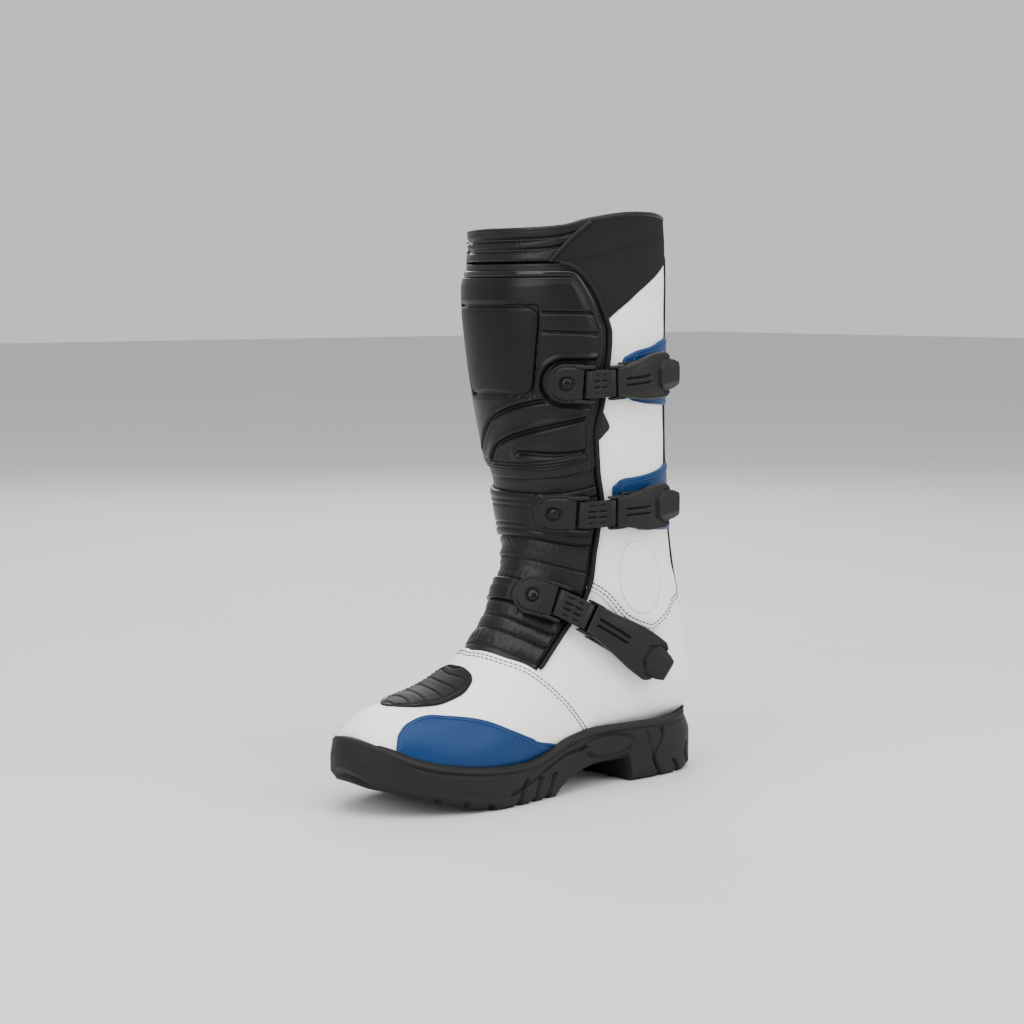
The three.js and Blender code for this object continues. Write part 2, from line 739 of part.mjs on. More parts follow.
// binding sewn round the flap's free edge, a round cord over the white panels
const BINDING_RADIUS = 1.4;
const BINDING_LIFT = 2.5;
const BINDING_ENDS = [0.395, 0.936];
for (const [side, sign] of [["outer", 1], ["inner", -1]]) {
  const points = [];
  for (let t = BINDING_ENDS[0]; t < BINDING_ENDS[1]; t += 0.012) {
    points.push(offsetPoint(t, sign * flapEdge(t), BINDING_LIFT));
  }
  const extrudePath = new THREE.CatmullRomCurve3(points);
  const section = new THREE.Shape().absarc(0, 0, BINDING_RADIUS, 0, 2 * Math.PI);
  const settings = { extrudePath, steps: 26, curveSegments: 2, bevelEnabled: false };
  add(`flap_binding_${side}`, new THREE.ExtrudeGeometry(section, settings), BLACK_LEATHER);
}

// ---------------------------------------------------------------- buckles
const NOSE_END = 0.1; // a buckle's path goes on straight past this point, for the bridge's rounded nose
const STRAIGHT_END = 14; // and over this length at its other end, where the lever leaves the skin

// a path over the skin, with a frame at any length along it: T along, N outward, W = N x T across
function skinPath(knots) {
  const curve = new THREE.CatmullRomCurve3(knots.map(([t, phi]) => new THREE.Vector3(t * 100, phi, 0)));
  const samples = 120;
  const points = [];
  for (let i = 0; i <= samples; i++) {
    const at = curve.getPoint(i / samples);
    points.push({ t: at.x / 100, phi: at.y });
  }
  const lengths = [0];
  const position = ({ t, phi }) => skinPoint(t, phi);
  for (let i = 1; i <= samples; i++) {
    const step = position(points[i]).distanceTo(position(points[i - 1]));
    lengths.push(lengths[i - 1] + step);
  }
  const locate = (s) => {
    const inside = THREE.MathUtils.clamp(s, NOSE_END, lengths[samples] - STRAIGHT_END);
    let i = lengths.findIndex((length) => length > inside) - 1;
    i = THREE.MathUtils.clamp(i, 0, samples - 1);
    const f = (inside - lengths[i]) / (lengths[i + 1] - lengths[i]);
    const [a, b] = [points[i], points[i + 1]];
    return { t: lerp(a.t, b.t, f), phi: lerp(a.phi, b.phi, f), beyond: s - inside };
  };
  const frame = (s) => {
    const here = locate(s);
    const ahead = locate(s - here.beyond + 0.5);
    const behind = locate(s - here.beyond - 0.5);
    const N = skinNormal(here.t, here.phi);
    const T = position(ahead).sub(position(behind)).projectOnPlane(N).normalize();
    const W = new THREE.Vector3().crossVectors(N, T);
    return { P: position(here).addScaledVector(T, here.beyond), T, N, W };
  };
  return { length: lengths[samples], frame };
}

const inFrame = ({ P, T, N, W }, along, out, across) =>
  P.clone().addScaledVector(T, along).addScaledVector(N, out).addScaledVector(W, across);

// a bar that follows the path: width, inner and outer distances are functions of the length along it
function bar(path, from, to, steps, halfWidth, inner, outer, chamfer = 1) {
  const points = [];
  const faces = [];
  for (let k = 0; k <= steps; k++) {
    const s = lerp(from, to, k / steps);
    const frame = path.frame(s);
    const w = halfWidth(s);
    const [a, b] = [inner(s), outer(s)];
    const c = Math.min(chamfer, (b - a) / 2, w / 2);
    for (const [across, out] of [[-w, a], [w, a], [w, b - c], [w - c, b], [c - w, b], [-w, b - c]]) {
      points.push(inFrame(frame, 0, out, across));
    }
  }
  const n = 6;
  for (let k = 0; k < steps; k++) {
    for (let i = 0; i < n; i++) {
      const j = (i + 1) % n;
      faces.push([k * n + i, k * n + j, k * n + n + j], [k * n + i, k * n + n + j, k * n + n + i]);
    }
  }
  for (let i = 1; i < n - 1; i++) {
    faces.push([0, i + 1, i], [steps * n, steps * n + i, steps * n + i + 1]);
  }
  return geometryFrom(points, faces);
}

// a box in the frame's axes
function block(frame, length, height, width, along, out, across) {
  const axes = new THREE.Matrix4().makeBasis(frame.N, frame.T, frame.W);
  const centre = inFrame(frame, along, out, across);
  return new THREE.BoxGeometry(height, length, width).applyMatrix4(axes.setPosition(centre));
}

// a cylinder along the frame's N or W axis
function peg(frame, axis, radius, from, to, along, out, segments = 8) {
  const direction = axis === "N" ? frame.N : frame.W;
  const turn = new THREE.Quaternion().setFromUnitVectors(new THREE.Vector3(0, 1, 0), direction);
  const middle = (from + to) / 2;
  const centre = axis === "N" ? inFrame(frame, along, middle, 0) : inFrame(frame, along, out, middle);
  const cylinder = new THREE.CylinderGeometry(radius, radius, to - from, segments);
  return cylinder.applyQuaternion(turn).translate(...centre);
}
// a cylinder along W at a pin's place
const pin = (frame, radius, half, segments) =>
  peg(frame, "W", radius, -half, half, 0, PIN_LIFT, segments);

// half width of a plate with a round nose: full from one radius behind its start
const rounded = (from, radius, full) => (s) => {
  const d = radius - (s - from);
  return d > 0 ? Math.max(full * Math.sqrt(Math.max(1 - (d / radius) ** 2, 0)), full * 0.3) : full;
};

// sizes of the blocks beside the pins: length along the path, height, width, place along, out and across
const CHEEK = { length: 11, height: 4, width: 2.6, along: -2.5, out: 8, across: 12 };
const EAR = { length: 12, height: 6, width: 1.8, along: 3, out: 9.2, across: 10.9 };
const beside = (frame, { length, height, width, along, out, across }) =>
  [-1, 1].map((side) => block(frame, length, height, width, along, out, side * across));

const jointFrames = [];
BUCKLES.forEach(({ name, path: knots }, index) => {
  const path = skinPath(knots);
  const hinge = BRIDGE_LENGTH[index];
  const pivot = hinge + STRAP_LENGTH[index];
  const tip = path.length;
  const rivetAt = path.frame(0);
  const hingeAt = path.frame(hinge);
  const pivotAt = path.frame(pivot);

  const nose = rounded(-BRIDGE_HALF_WIDTH, BRIDGE_HALF_WIDTH, BRIDGE_HALF_WIDTH);
  const [under, top] = BRIDGE_LIFT.map(fixed);
  const plate = bar(path, 0.5 - BRIDGE_HALF_WIDTH, hinge - 4, 7, nose, under, top);
  const rivetBore = peg(rivetAt, "N", RIVET_BORE, 0, BORE_HALF, 0, 0);
  const hingeBore = pin(hingeAt, PIN_BORE, BORE_HALF);
  const pivotBore = pin(pivotAt, PIN_BORE, BORE_HALF);
  add(
    `bridge_${name}`,
    cut(join(plate, ...beside(hingeAt, CHEEK)), rivetBore, hingeBore),
    BLACK_PLASTIC,
  );
  add(
    `bridge_rivet_${name}`,
    join(
      peg(rivetAt, "N", RIVET_SHANK, BRIDGE_LIFT[0] - 0.5, BRIDGE_LIFT[1] + 1, 0, 0),
      peg(rivetAt, "N", RIVET_HEAD, BRIDGE_LIFT[1] + 0.4, BRIDGE_LIFT[1] + 1.8, 0, 0),
    ),
    STEEL,
  );
  add(`hinge_pin_${name}`, pin(hingeAt, PIN_RADIUS, HINGE_PIN_HALF, 10), STEEL);

  const strapHalf = fixed(STRAP_HALF_WIDTH);
  const [strapUnder, strapTop] = STRAP_LIFT.map(fixed);
  const strapBar = bar(path, hinge - 1.4, pivot + 1.4, 5, strapHalf, strapUnder, strapTop, 0.6);
  const bosses = [hingeAt, pivotAt].map((frame) => pin(frame, PIN_BOSS, STRAP_HALF_WIDTH));
  add(
    `ladder_strap_${name}`,
    cut(join(strapBar, ...bosses), hingeBore, pivotBore),
    BLACK_PLASTIC,
  );
  add(`lever_pin_${name}`, pin(pivotAt, PIN_RADIUS, LEVER_PIN_HALF, 10), STEEL);

  const leverStart = pivot + 5;
  const leverEnd = tip + CAP_START - 0.4;
  const leverHalf = (s) =>
    lerp(LEVER_NECK, LEVER_HALF_WIDTH, THREE.MathUtils.smoothstep(s, pivot, tip - LEVER_RUN));
  const leverUnder = (s) =>
    lerp(LEVER_ROOT, LEVER_LIFT[0], THREE.MathUtils.smoothstep(s, leverStart, leverStart + 7));
  const leverPlate = bar(path, leverStart, leverEnd, 6, leverHalf, leverUnder, fixed(LEVER_LIFT[1]), 2.5);
  add(
    `lever_${name}`,
    cut(join(leverPlate, ...beside(pivotAt, EAR)), pivotBore),
    BLACK_PLASTIC,
  );
  const capLength = CAP_END - CAP_START;
  const capShare = (s) => THREE.MathUtils.clamp((s - tip - CAP_START) / capLength, 0, 1);
  const capWidth = (s) => lerp(CAP_HALF_WIDTH[0], CAP_HALF_WIDTH[1], capShare(s));
  const capTop = (s) => lerp(CAP_LIFT[1], CAP_LIFT[2], capShare(s));
  add(
    `lever_cap_${name}`,
    bar(path, tip + CAP_START, tip + CAP_END, 4, capWidth, fixed(CAP_LIFT[0]), capTop, 3.5),
    BLACK_PLASTIC,
  );
  const [catchUnder, catchTop] = CATCH_LIFT.map(fixed);
  const catchHalf = fixed(CATCH_HALF_WIDTH);
  add(
    `catch_${name}`,
    bar(path, pivot + 8, tip - 7, 5, catchHalf, catchUnder, catchTop),
    BLACK_PLASTIC,
  );

  jointFrames.push(
    { name: `bridge_${name}_swivel`, at: inFrame(rivetAt, 0, BRIDGE_LIFT[0], 0), axis: rivetAt.N },
    { name: `strap_${name}_swing`, at: inFrame(hingeAt, 0, PIN_LIFT, 0), axis: hingeAt.W.clone().negate() },
    { name: `lever_${name}_open`, at: inFrame(pivotAt, 0, PIN_LIFT, 0), axis: pivotAt.W.clone().negate() },
  );
});

// the origin is the middle of the boot's footprint, on the ground
const extent = new THREE.Box3().setFromObject(boot, true);
const origin = extent.getCenter(new THREE.Vector3()).setZ(extent.min.z);
boot.position.copy(origin).negate();
boot.userData = { origin, jointFrames };

export default boot;
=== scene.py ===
"""The looks of a left riding boot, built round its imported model.

The part's frame is +Z up, toe to -X, outer side with the buckles to -Y. Sizes are in millimetres and turn
into metres where a mesh is made. Every layer follows one surface, skin(t, phi, lift). t runs from the toe
tip (0) over the instep to the shaft's rim (1). phi, in degrees, runs from the front or top line (0) over the
outer side (90) to the back or bottom line (180). lift is the distance from that surface.
"""

import math

import bmesh
import bpy
import numpy as np
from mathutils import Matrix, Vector, kdtree


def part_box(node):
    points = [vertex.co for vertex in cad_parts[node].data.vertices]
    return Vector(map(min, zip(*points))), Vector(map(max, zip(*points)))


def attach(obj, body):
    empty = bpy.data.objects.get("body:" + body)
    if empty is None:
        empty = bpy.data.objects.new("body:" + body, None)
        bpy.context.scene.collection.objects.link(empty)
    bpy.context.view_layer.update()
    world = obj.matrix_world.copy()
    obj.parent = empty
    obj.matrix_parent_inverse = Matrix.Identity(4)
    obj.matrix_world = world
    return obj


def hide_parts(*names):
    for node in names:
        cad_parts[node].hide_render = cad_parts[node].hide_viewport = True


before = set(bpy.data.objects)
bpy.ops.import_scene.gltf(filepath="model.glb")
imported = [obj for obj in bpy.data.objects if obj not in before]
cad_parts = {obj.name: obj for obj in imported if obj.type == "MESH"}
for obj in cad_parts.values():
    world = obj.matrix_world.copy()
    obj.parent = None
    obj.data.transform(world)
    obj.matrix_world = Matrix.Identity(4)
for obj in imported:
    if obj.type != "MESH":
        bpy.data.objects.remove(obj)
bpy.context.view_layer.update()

MM = 0.001
SOLE_TOE = -143.5  # x of the sole's front end and y of its outer edge in the part's own design axes
SOLE_OUTER = -57.5
SHIFT = np.array(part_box("outsole")[0]) - np.array([SOLE_TOE, SOLE_OUTER, 0]) * MM
SHIFT[2] = 0

# ---------------------------------------------------------------- the skin
# toe to rim: front or top point x and z, back or bottom point x and z, half widths outside and inside,
# sideways shift, height of the widest line as a share, roundness of the front half and of the back half
SECTIONS = np.array([
    [-136.5, 46, -136.5, 44, 3, 3, 6, 0.5, 2.0, 2.0],
    [-132.5, 55.5, -134, 31, 22, 21, 6, 0.42, 2.0, 2.4],
    [-123, 63.5, -124, 25, 34, 33, 5, 0.36, 2.0, 2.7],
    [-107, 69.5, -109, 21, 43.5, 42, 4, 0.32, 2.0, 3.0],
    [-86, 74, -86, 18, 49.5, 47.5, 2, 0.3, 2.0, 3.2],
    [-65, 81, -58, 17, 51, 47.5, 0, 0.3, 2.0, 3.2],
    [-47, 91.5, -24, 18, 48.5, 44, 0, 0.31, 2.0, 3.2],
    [-32, 104, 14, 24, 44, 40.5, 0, 0.33, 2.05, 3.0],
    [-19, 119, 52, 29, 42, 40, 0, 0.36, 2.1, 2.8],
    [-10, 135, 98, 31, 42, 42, 0, 0.4, 2.15, 2.6],
    [-2.5, 152, 147, 38, 44, 44, 0, 0.44, 2.2, 2.4],
    [2.5, 170, 156, 66, 47, 47, 0, 0.47, 2.2, 2.2],
    [2.5, 190, 147.5, 105, 49, 49, 0, 0.5, 2.2, 2.15],
    [-1, 213, 136, 145, 52, 52, 0, 0.5, 2.2, 2.1],
    [-5, 240, 127.5, 190, 55, 55, 0, 0.5, 2.2, 2.1],
    [-11, 270, 123, 240, 58.5, 58.5, 0, 0.5, 2.2, 2.1],
    [-17, 305, 121, 292, 61.5, 61, 0, 0.5, 2.2, 2.1],
    [-21, 340, 121, 338, 63, 62, 0, 0.5, 2.2, 2.1],
    [-21, 368, 120.5, 371, 63, 61, 0, 0.5, 2.2, 2.1],
    [-20, 396, 118.5, 406, 62, 60, 0, 0.5, 2.2, 2.1],
])
PADDED_SECTIONS = np.vstack([2 * SECTIONS[0] - SECTIONS[1], SECTIONS, 2 * SECTIONS[-1] - SECTIONS[-2]])


def spline(p0, p1, p2, p3, f):
    """The point at share f of the way from p1 to p2 on a smooth curve through the four."""
    bend = 2 * p0 - 5 * p1 + 4 * p2 - p3
    return 0.5 * (2 * p1 + (p2 - p0) * f + bend * f**2 + (3 * p1 - p0 - 3 * p2 + p3) * f**3)


def surface(t, phi):
    """Points of the skin in design millimetres."""
    last = len(SECTIONS) - 1
    at = np.clip(t, 0, 1) * last
    i = np.minimum(at.astype(int), last - 1)
    f = (at - i)[..., None]
    row = spline(*(PADDED_SECTIONS[i + k] for k in range(4)), f)
    fx, fz, bx, bz, outside, inside, shift, widest, front, back = np.moveaxis(row, -1, 0)
    c, s = np.cos(np.radians(phi)), np.sin(np.radians(phi))
    power = 2 / np.where(c >= 0, front, back)
    along = np.sign(c) * np.abs(c) ** power
    across = np.sign(s) * np.abs(s) ** power
    share = widest + np.where(c >= 0, 1 - widest, widest) * along
    y = shift - np.where(s >= 0, outside, inside) * across
    return np.stack([bx + (fx - bx) * share, y, bz + (fz - bz) * share], -1)


def slopes(t, phi):
    """Change of the skin's point per unit of t and per degree of phi."""
    a, b = np.clip(t + 1e-3, 0, 1), np.clip(t - 1e-3, 0, 1)
    along = (surface(a, phi) - surface(b, phi)) / (a - b)[..., None]
    around = (surface(t, phi + 0.1) - surface(t, phi - 0.1)) / 0.2
    return along, around


def normal(t, phi):
    along, around = slopes(t, phi)
    n = np.cross(around, along)
    return n / np.linalg.norm(n, axis=-1, keepdims=True)


def skin(t, phi, lift=0.0):
    """Points at a distance from the skin, in millimetres."""
    t, phi, lift = np.broadcast_arrays(np.asarray(t, float), np.asarray(phi, float), np.asarray(lift, float))
    return surface(t, phi) + normal(t, phi) * lift[..., None]


def curve(*pairs):
    """Smooth function through (input, output) pairs that never overshoots them."""
    xs, ys = np.array(pairs, float).T
    rise = np.diff(ys) / np.diff(xs)
    a, b = np.r_[rise[0], rise], np.r_[rise, rise[-1]]
    total = np.where(a + b == 0, 1, a + b)
    slope = np.where(a * b > 0, 2 * a * b / total, 0)

    def value(x):
        x = np.clip(x, xs[0], xs[-1])
        i = np.clip(np.searchsorted(xs, x, "right") - 1, 0, len(xs) - 2)
        h = xs[i + 1] - xs[i]
        f = (x - xs[i]) / h
        ends = (2 * f**3 - 3 * f**2 + 1) * ys[i] + (3 * f**2 - 2 * f**3) * ys[i + 1]
        return ends + (f**3 - 2 * f**2 + f) * slope[i] * h + (f**3 - f**2) * slope[i + 1] * h

    return value


def both_sides(function):
    return lambda phi: function(np.abs(phi))


def fixed(value):
    return lambda x: np.full(np.shape(x), float(value))


def smooth(x, low, high):
    f = np.clip((x - low) / (high - low), 0, 1)
    return f * f * (3 - 2 * f)


# ---------------------------------------------------------------- outlines shared with the solid model
VAMP_T = 0.353
PLATE_LOW = 0.702
SEAM_RISE = 0.036
T_PER_MM = 0.0024  # t per millimetre along the shaft
RIB_SEAMS = [0.697, 0.677, 0.599, 0.558, 0.517, 0.468, 0.437, 0.408, 0.372]
LASTED = 134
rim_outer = curve((0, 0.987), (30, 0.987), (50, 0.9885), (68, 0.9955), (90, 0.999), (110, 0.997), (140, 0.99),
                  (180, 0.986))
rim_inner = curve((0, 0.987), (30, 0.985), (60, 0.981), (130, 0.981), (180, 0.986))
vamp_seam = both_sides(curve((0, VAMP_T), (30, 0.37), (50, 0.391), (70, 0.404), (90, 0.413), (115, 0.418),
                             (140, 0.425)))
quarter_seam = both_sides(curve((50, 0.562), (64, 0.566), (78, 0.556), (92, 0.568), (101, 0.588),
                                (114, 0.614), (124, 0.633), (150, 0.651), (180, 0.657)))
calf_seam = both_sides(curve((70, 0.868), (87, 0.891), (99, 0.908), (124, 0.933), (150, 0.95), (180, 0.955)))
flap_edge = curve((0.36, 58), (0.405, 57), (0.451, 55), (0.5, 54), (0.59, 58), (0.664, 65), (0.704, 69),
                  (0.736, 67.6), (0.768, 67.6), (0.812, 73.6), (0.867, 78.5), (0.88, 76.4), (0.918, 66.8),
                  (0.939, 57), (0.946, 46))
collar_seam = curve((0.944, 42), (0.96, 49), (0.976, 57), (0.99, 66), (1, 72))
quarter_back = curve((0.43, 146), (0.48, 150), (0.522, 180), (0.68, 180))


def rim(phi):
    """The shaft's upper edge, lower on the inner side; phi may run past 180."""
    around = (phi + 180) % 360 - 180
    return np.where(around < 0, rim_inner(-around), rim_outer(around))


def rib_seam(seam, phi):
    return seam + SEAM_RISE * (phi / 60) ** 2


# ---------------------------------------------------------------- materials
MULTIPLY_ADD = {"operation": "MULTIPLY_ADD"}
CLOUD = (0.3, 0.7)  # the range that soft noise mostly stays in


def shader(name, color, roughness, **sockets):
    """A material with a Principled shader, and a function that adds and links nodes to it."""
    made = bpy.data.materials.new(name)
    made.use_nodes = True
    nodes, links = made.node_tree.nodes, made.node_tree.links
    principled = nodes["Principled BSDF"]
    principled.inputs["Base Color"].default_value = (*color, 1)
    principled.inputs["Roughness"].default_value = roughness
    for socket, value in sockets.items():
        principled.inputs[socket.replace("_", " ")].default_value = value

    def add(kind, settings=None, **inputs):
        node = nodes.new("ShaderNode" + kind)
        for key, value in (settings or {}).items():
            setattr(node, key, value)
        for key, value in inputs.items():
            socket = node.inputs[int(key[1:])] if key[0] == "i" and key[1:].isdigit() else node.inputs[key]
            if isinstance(value, bpy.types.NodeSocket):
                links.new(value, socket)
            else:
                socket.default_value = value
        return node

    add.principled = principled
    add.links = links
    return made, add


def ramp(add, value, low, high, start=0.0, end=1.0):
    """value, spread from start to end, turned into low to high."""
    spread = {"From Min": start, "From Max": end, "To Min": low, "To Max": high, "Value": value}
    return add("MapRange", None, **spread).outputs["Result"]


def tint(add, color, amount, fac):
    """The base colour, lighter and darker by amount as fac goes from 0 to 1."""
    dark = tuple(c * (1 - amount) for c in color) + (1,)
    light = tuple(min(c * (1 + amount), 1) for c in color) + (1,)
    mix = add("Mix", {"data_type": "RGBA"}, Factor=fac)
    mix.inputs[6].default_value = dark
    mix.inputs[7].default_value = light
    add.links.new(mix.outputs[2], add.principled.inputs["Base Color"])
    return mix.outputs[2]


def leather(name, color, roughness, grain, relief, spread=0.12, **sockets):
    """Coated leather: pebbled grain of a size in millimetres, fine pores, faint creases and uneven gloss."""
    made, add = shader(name, color, roughness, **sockets)
    where = add("TexCoord").outputs["Object"]
    cloud = add("TexNoise", None, Vector=where, Scale=28.0, Detail=4.0).outputs["Fac"]
    warp = add("TexNoise", None, Vector=where, Scale=1000 / (grain * 3), Detail=2.0)
    shifted = add("VectorMath", MULTIPLY_ADD, i0=warp.outputs["Color"], i1=(0.0006,) * 3, i2=where)
    pebbles = add("TexVoronoi", {"feature": "SMOOTH_F1"}, Vector=shifted.outputs[0], Scale=1000 / grain)
    pores = add("TexNoise", None, Vector=where, Scale=3800.0, Detail=1.0).outputs["Fac"]
    creases = add("TexNoise", None, Vector=where, Scale=90.0, Detail=3.0, Distortion=0.6).outputs["Fac"]
    fine = add("Math", MULTIPLY_ADD, i0=pores, i1=0.25, i2=pebbles.outputs["Distance"])
    height = add("Math", MULTIPLY_ADD, i0=creases, i1=1.2, i2=fine.outputs[0])
    bump = add("Bump", None, Strength=1.0, Distance=relief * MM, Height=height.outputs[0])
    add.links.new(bump.outputs[0], add.principled.inputs["Normal"])
    tint(add, color, spread, ramp(add, cloud, 0, 1, *CLOUD))
    gloss = add("Math", MULTIPLY_ADD, i0=pebbles.outputs["Distance"], i1=0.10,
                i2=ramp(add, cloud, roughness - 0.08, roughness + 0.06, *CLOUD))
    add.links.new(gloss.outputs[0], add.principled.inputs["Roughness"])
    return made


def moulded(name, color, roughness, relief=0.05, grain=0.5, **sockets):
    """Moulded plastic or rubber: fine spark-eroded texture, painted edge highlights, uneven colour and gloss.
    """
    made, add = shader(name, color, roughness, **sockets)
    where = add("TexCoord").outputs["Object"]
    cloud = add("TexNoise", None, Vector=where, Scale=40.0, Detail=5.0).outputs["Fac"]
    speckle = add("TexNoise", None, Vector=where, Scale=1000 / grain, Detail=3.0).outputs["Fac"]
    bump = add("Bump", None, Strength=1.0, Distance=relief * MM, Height=speckle)
    add.links.new(bump.outputs[0], add.principled.inputs["Normal"])
    # sharp convex edges are made paler as a painted highlight, on top of uneven tone from the cloud
    edges = add("NewGeometry").outputs["Pointiness"]
    edge_highlight_and_tone = add("Math", MULTIPLY_ADD, i0=ramp(add, edges, 0, 0.8, 0.5, 0.6), i1=1.0,
               i2=ramp(add, cloud, 0, 0.6, 0.35, 0.7))
    tint(add, color, 0.15, edge_highlight_and_tone.outputs[0])
    gloss = ramp(add, cloud, roughness - 0.07, roughness + 0.07, *CLOUD)
    add.links.new(gloss, add.principled.inputs["Roughness"])
    return made


def woven(name, color, roughness, pitch, relief, **sockets):
    """Plain weave over the piece's own UV, which is laid out in metres."""
    made, add = shader(name, color, roughness, **sockets)
    where = add("UVMap").outputs["UV"]
    flat = add("SeparateXYZ", None, Vector=where)
    turns = 2 * math.pi * 1000 / pitch
    waves = []
    for axis in (0, 1):
        scaled = add("Math", {"operation": "MULTIPLY"}, i0=flat.outputs[axis], i1=turns)
        waves.append(add("Math", {"operation": "SINE"}, i0=scaled.outputs[0]).outputs[0])
    weave = add("Math", {"operation": "MULTIPLY"}, i0=waves[0], i1=waves[1])
    solid = add("TexCoord").outputs["Object"]
    fuzz = add("TexNoise", None, Vector=solid, Scale=2200.0, Detail=2.0).outputs["Fac"]
    height = add("Math", MULTIPLY_ADD, i0=fuzz, i1=0.8, i2=weave.outputs[0])
    bump = add("Bump", None, Strength=1.0, Distance=relief * MM, Height=height.outputs[0])
    add.links.new(bump.outputs[0], add.principled.inputs["Normal"])
    # colour follows the weave's height: painted shade in its dips and painted highlight on its crowns, with
    # uneven fibre tone from the fuzz
    tint(add, color, 0.35, ramp(add, height.outputs[0], 0, 1, -0.8, 1.4))
    return made


def metal(name, color, roughness, **sockets):
    made, add = shader(name, color, roughness, Metallic=1.0, **sockets)
    where = add("TexCoord").outputs["Object"]
    cloud = add("TexNoise", None, Vector=where, Scale=300.0, Detail=4.0).outputs["Fac"]
    gloss = ramp(add, cloud, roughness - 0.1, roughness + 0.12, *CLOUD)
    add.links.new(gloss, add.principled.inputs["Roughness"])
    tint(add, color, 0.15, cloud)
    return made


WHITE = leather("white_leather", (0.91, 0.9, 0.865), 0.5, 1.1, 0.02, spread=0.02)
BLUE = leather("blue_leather", (0.001, 0.028, 0.105), 0.4, 1.0, 0.03, spread=0.1, Specular_IOR_Level=0.2)
BLACK = leather("black_leather", (0.006, 0.006, 0.006), 0.36, 1.2, 0.05, spread=0.2, Specular_IOR_Level=0.24)
PAD = leather("pad_leather", (0.007, 0.007, 0.007), 0.52, 1.2, 0.05, spread=0.2, Specular_IOR_Level=0.14)
BINDING = woven("binding_tape", (0.011, 0.0105, 0.009), 0.7, 0.9, 0.08, Specular_IOR_Level=0.15)
TEXTILE = woven("woven_nylon", (0.014, 0.014, 0.0135), 0.9, 0.8, 0.07, Specular_IOR_Level=0.12)
LINING = woven("lining_mesh", (0.012, 0.012, 0.013), 0.95, 1.6, 0.15, Specular_IOR_Level=0.1)
PLATE = moulded("plate_plastic", (0.006, 0.006, 0.0058), 0.34, 0.02, 0.35, Specular_IOR_Level=0.2)
INSERT = moulded("insert_plastic", (0.004, 0.004, 0.004), 0.38, 0.03, 0.3, Specular_IOR_Level=0.2)
GLOSS = moulded("glossy_piping", (0.004, 0.004, 0.004), 0.16, 0.01, Specular_IOR_Level=0.35)
BUCKLE = moulded("buckle_plastic", (0.0105, 0.0102, 0.0088), 0.46, 0.03, 0.4, Specular_IOR_Level=0.2)
RIVET = moulded("black_rivet", (0.006, 0.006, 0.006), 0.2, 0.01, Metallic=0.6)
RUBBER = moulded("sole_rubber", (0.011, 0.011, 0.0105), 0.6, 0.05, 0.6, Specular_IOR_Level=0.2)
STIFFENER = moulded("stiffener_sheet", (0.1, 0.1, 0.1), 0.6)
BOARD = moulded("fibreboard", (0.4, 0.31, 0.22), 0.85, 0.08, 0.8)
STEEL = metal("steel", (0.3, 0.3, 0.31), 0.35)
THREAD_BLACK = woven("thread_black", (0.008, 0.008, 0.008), 0.6, 0.5, 0.05)
THREAD_BLUE = woven("thread_blue", (0.006, 0.06, 0.19), 0.6, 0.5, 0.05)
THREAD_GREY = woven("thread_grey", (0.26, 0.25, 0.23), 0.7, 0.5, 0.05)


# ---------------------------------------------------------------- meshes
def piece(name, points, faces, material, body, replaces=(), uv=None):
    """A finished piece of the object from points in design millimetres."""
    mesh = bpy.data.meshes.new(name)
    mesh.from_pydata((np.asarray(points, float) * MM + SHIFT).tolist(), [], faces)
    mesh.materials.append(material)
    if uv is not None:
        layer = mesh.uv_layers.new(name="UVMap")
        loops = np.zeros(len(mesh.loops), int)
        mesh.loops.foreach_get("vertex_index", loops)
        layer.data.foreach_set("uv", (np.asarray(uv)[loops] * MM).astype(np.float32).ravel())
    mesh.polygons.foreach_set("use_smooth", [True] * len(mesh.polygons))
    mesh.validate()
    made = bpy.data.objects.new(name, mesh)
    bpy.context.scene.collection.objects.link(made)
    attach(made, body)
    if replaces:
        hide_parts(*replaces)
    return made


def grid_faces(rows, columns, start=0, wrap=False):
    """Quads of a grid of points, row by row, facing out when rows go up and columns go round."""
    at = start + np.arange(rows * columns).reshape(rows, columns)
    if wrap:
        at = np.hstack([at, at[:, :1]])
    quads = np.stack([at[:-1, :-1], at[:-1, 1:], at[1:, 1:], at[1:, :-1]], -1)
    return quads.reshape(-1, 4).tolist()


def closed_sheet(outer, inner):
    """Points and faces of a closed body between two grids of points."""
    rows, columns = outer.shape[:2]
    count = rows * columns
    points = np.vstack([outer.reshape(-1, 3), inner.reshape(-1, 3)])
    faces = grid_faces(rows, columns)
    faces += [face[::-1] for face in grid_faces(rows, columns, count)]
    at = np.arange(count).reshape(rows, columns)
    border = [*at[0], *at[1:, -1], *at[-1, -2::-1], *at[-2:0:-1, 0]]
    for a, b in zip(border, border[1:] + border[:1]):
        faces.append([b, a, a + count, b + count])
    return points, faces


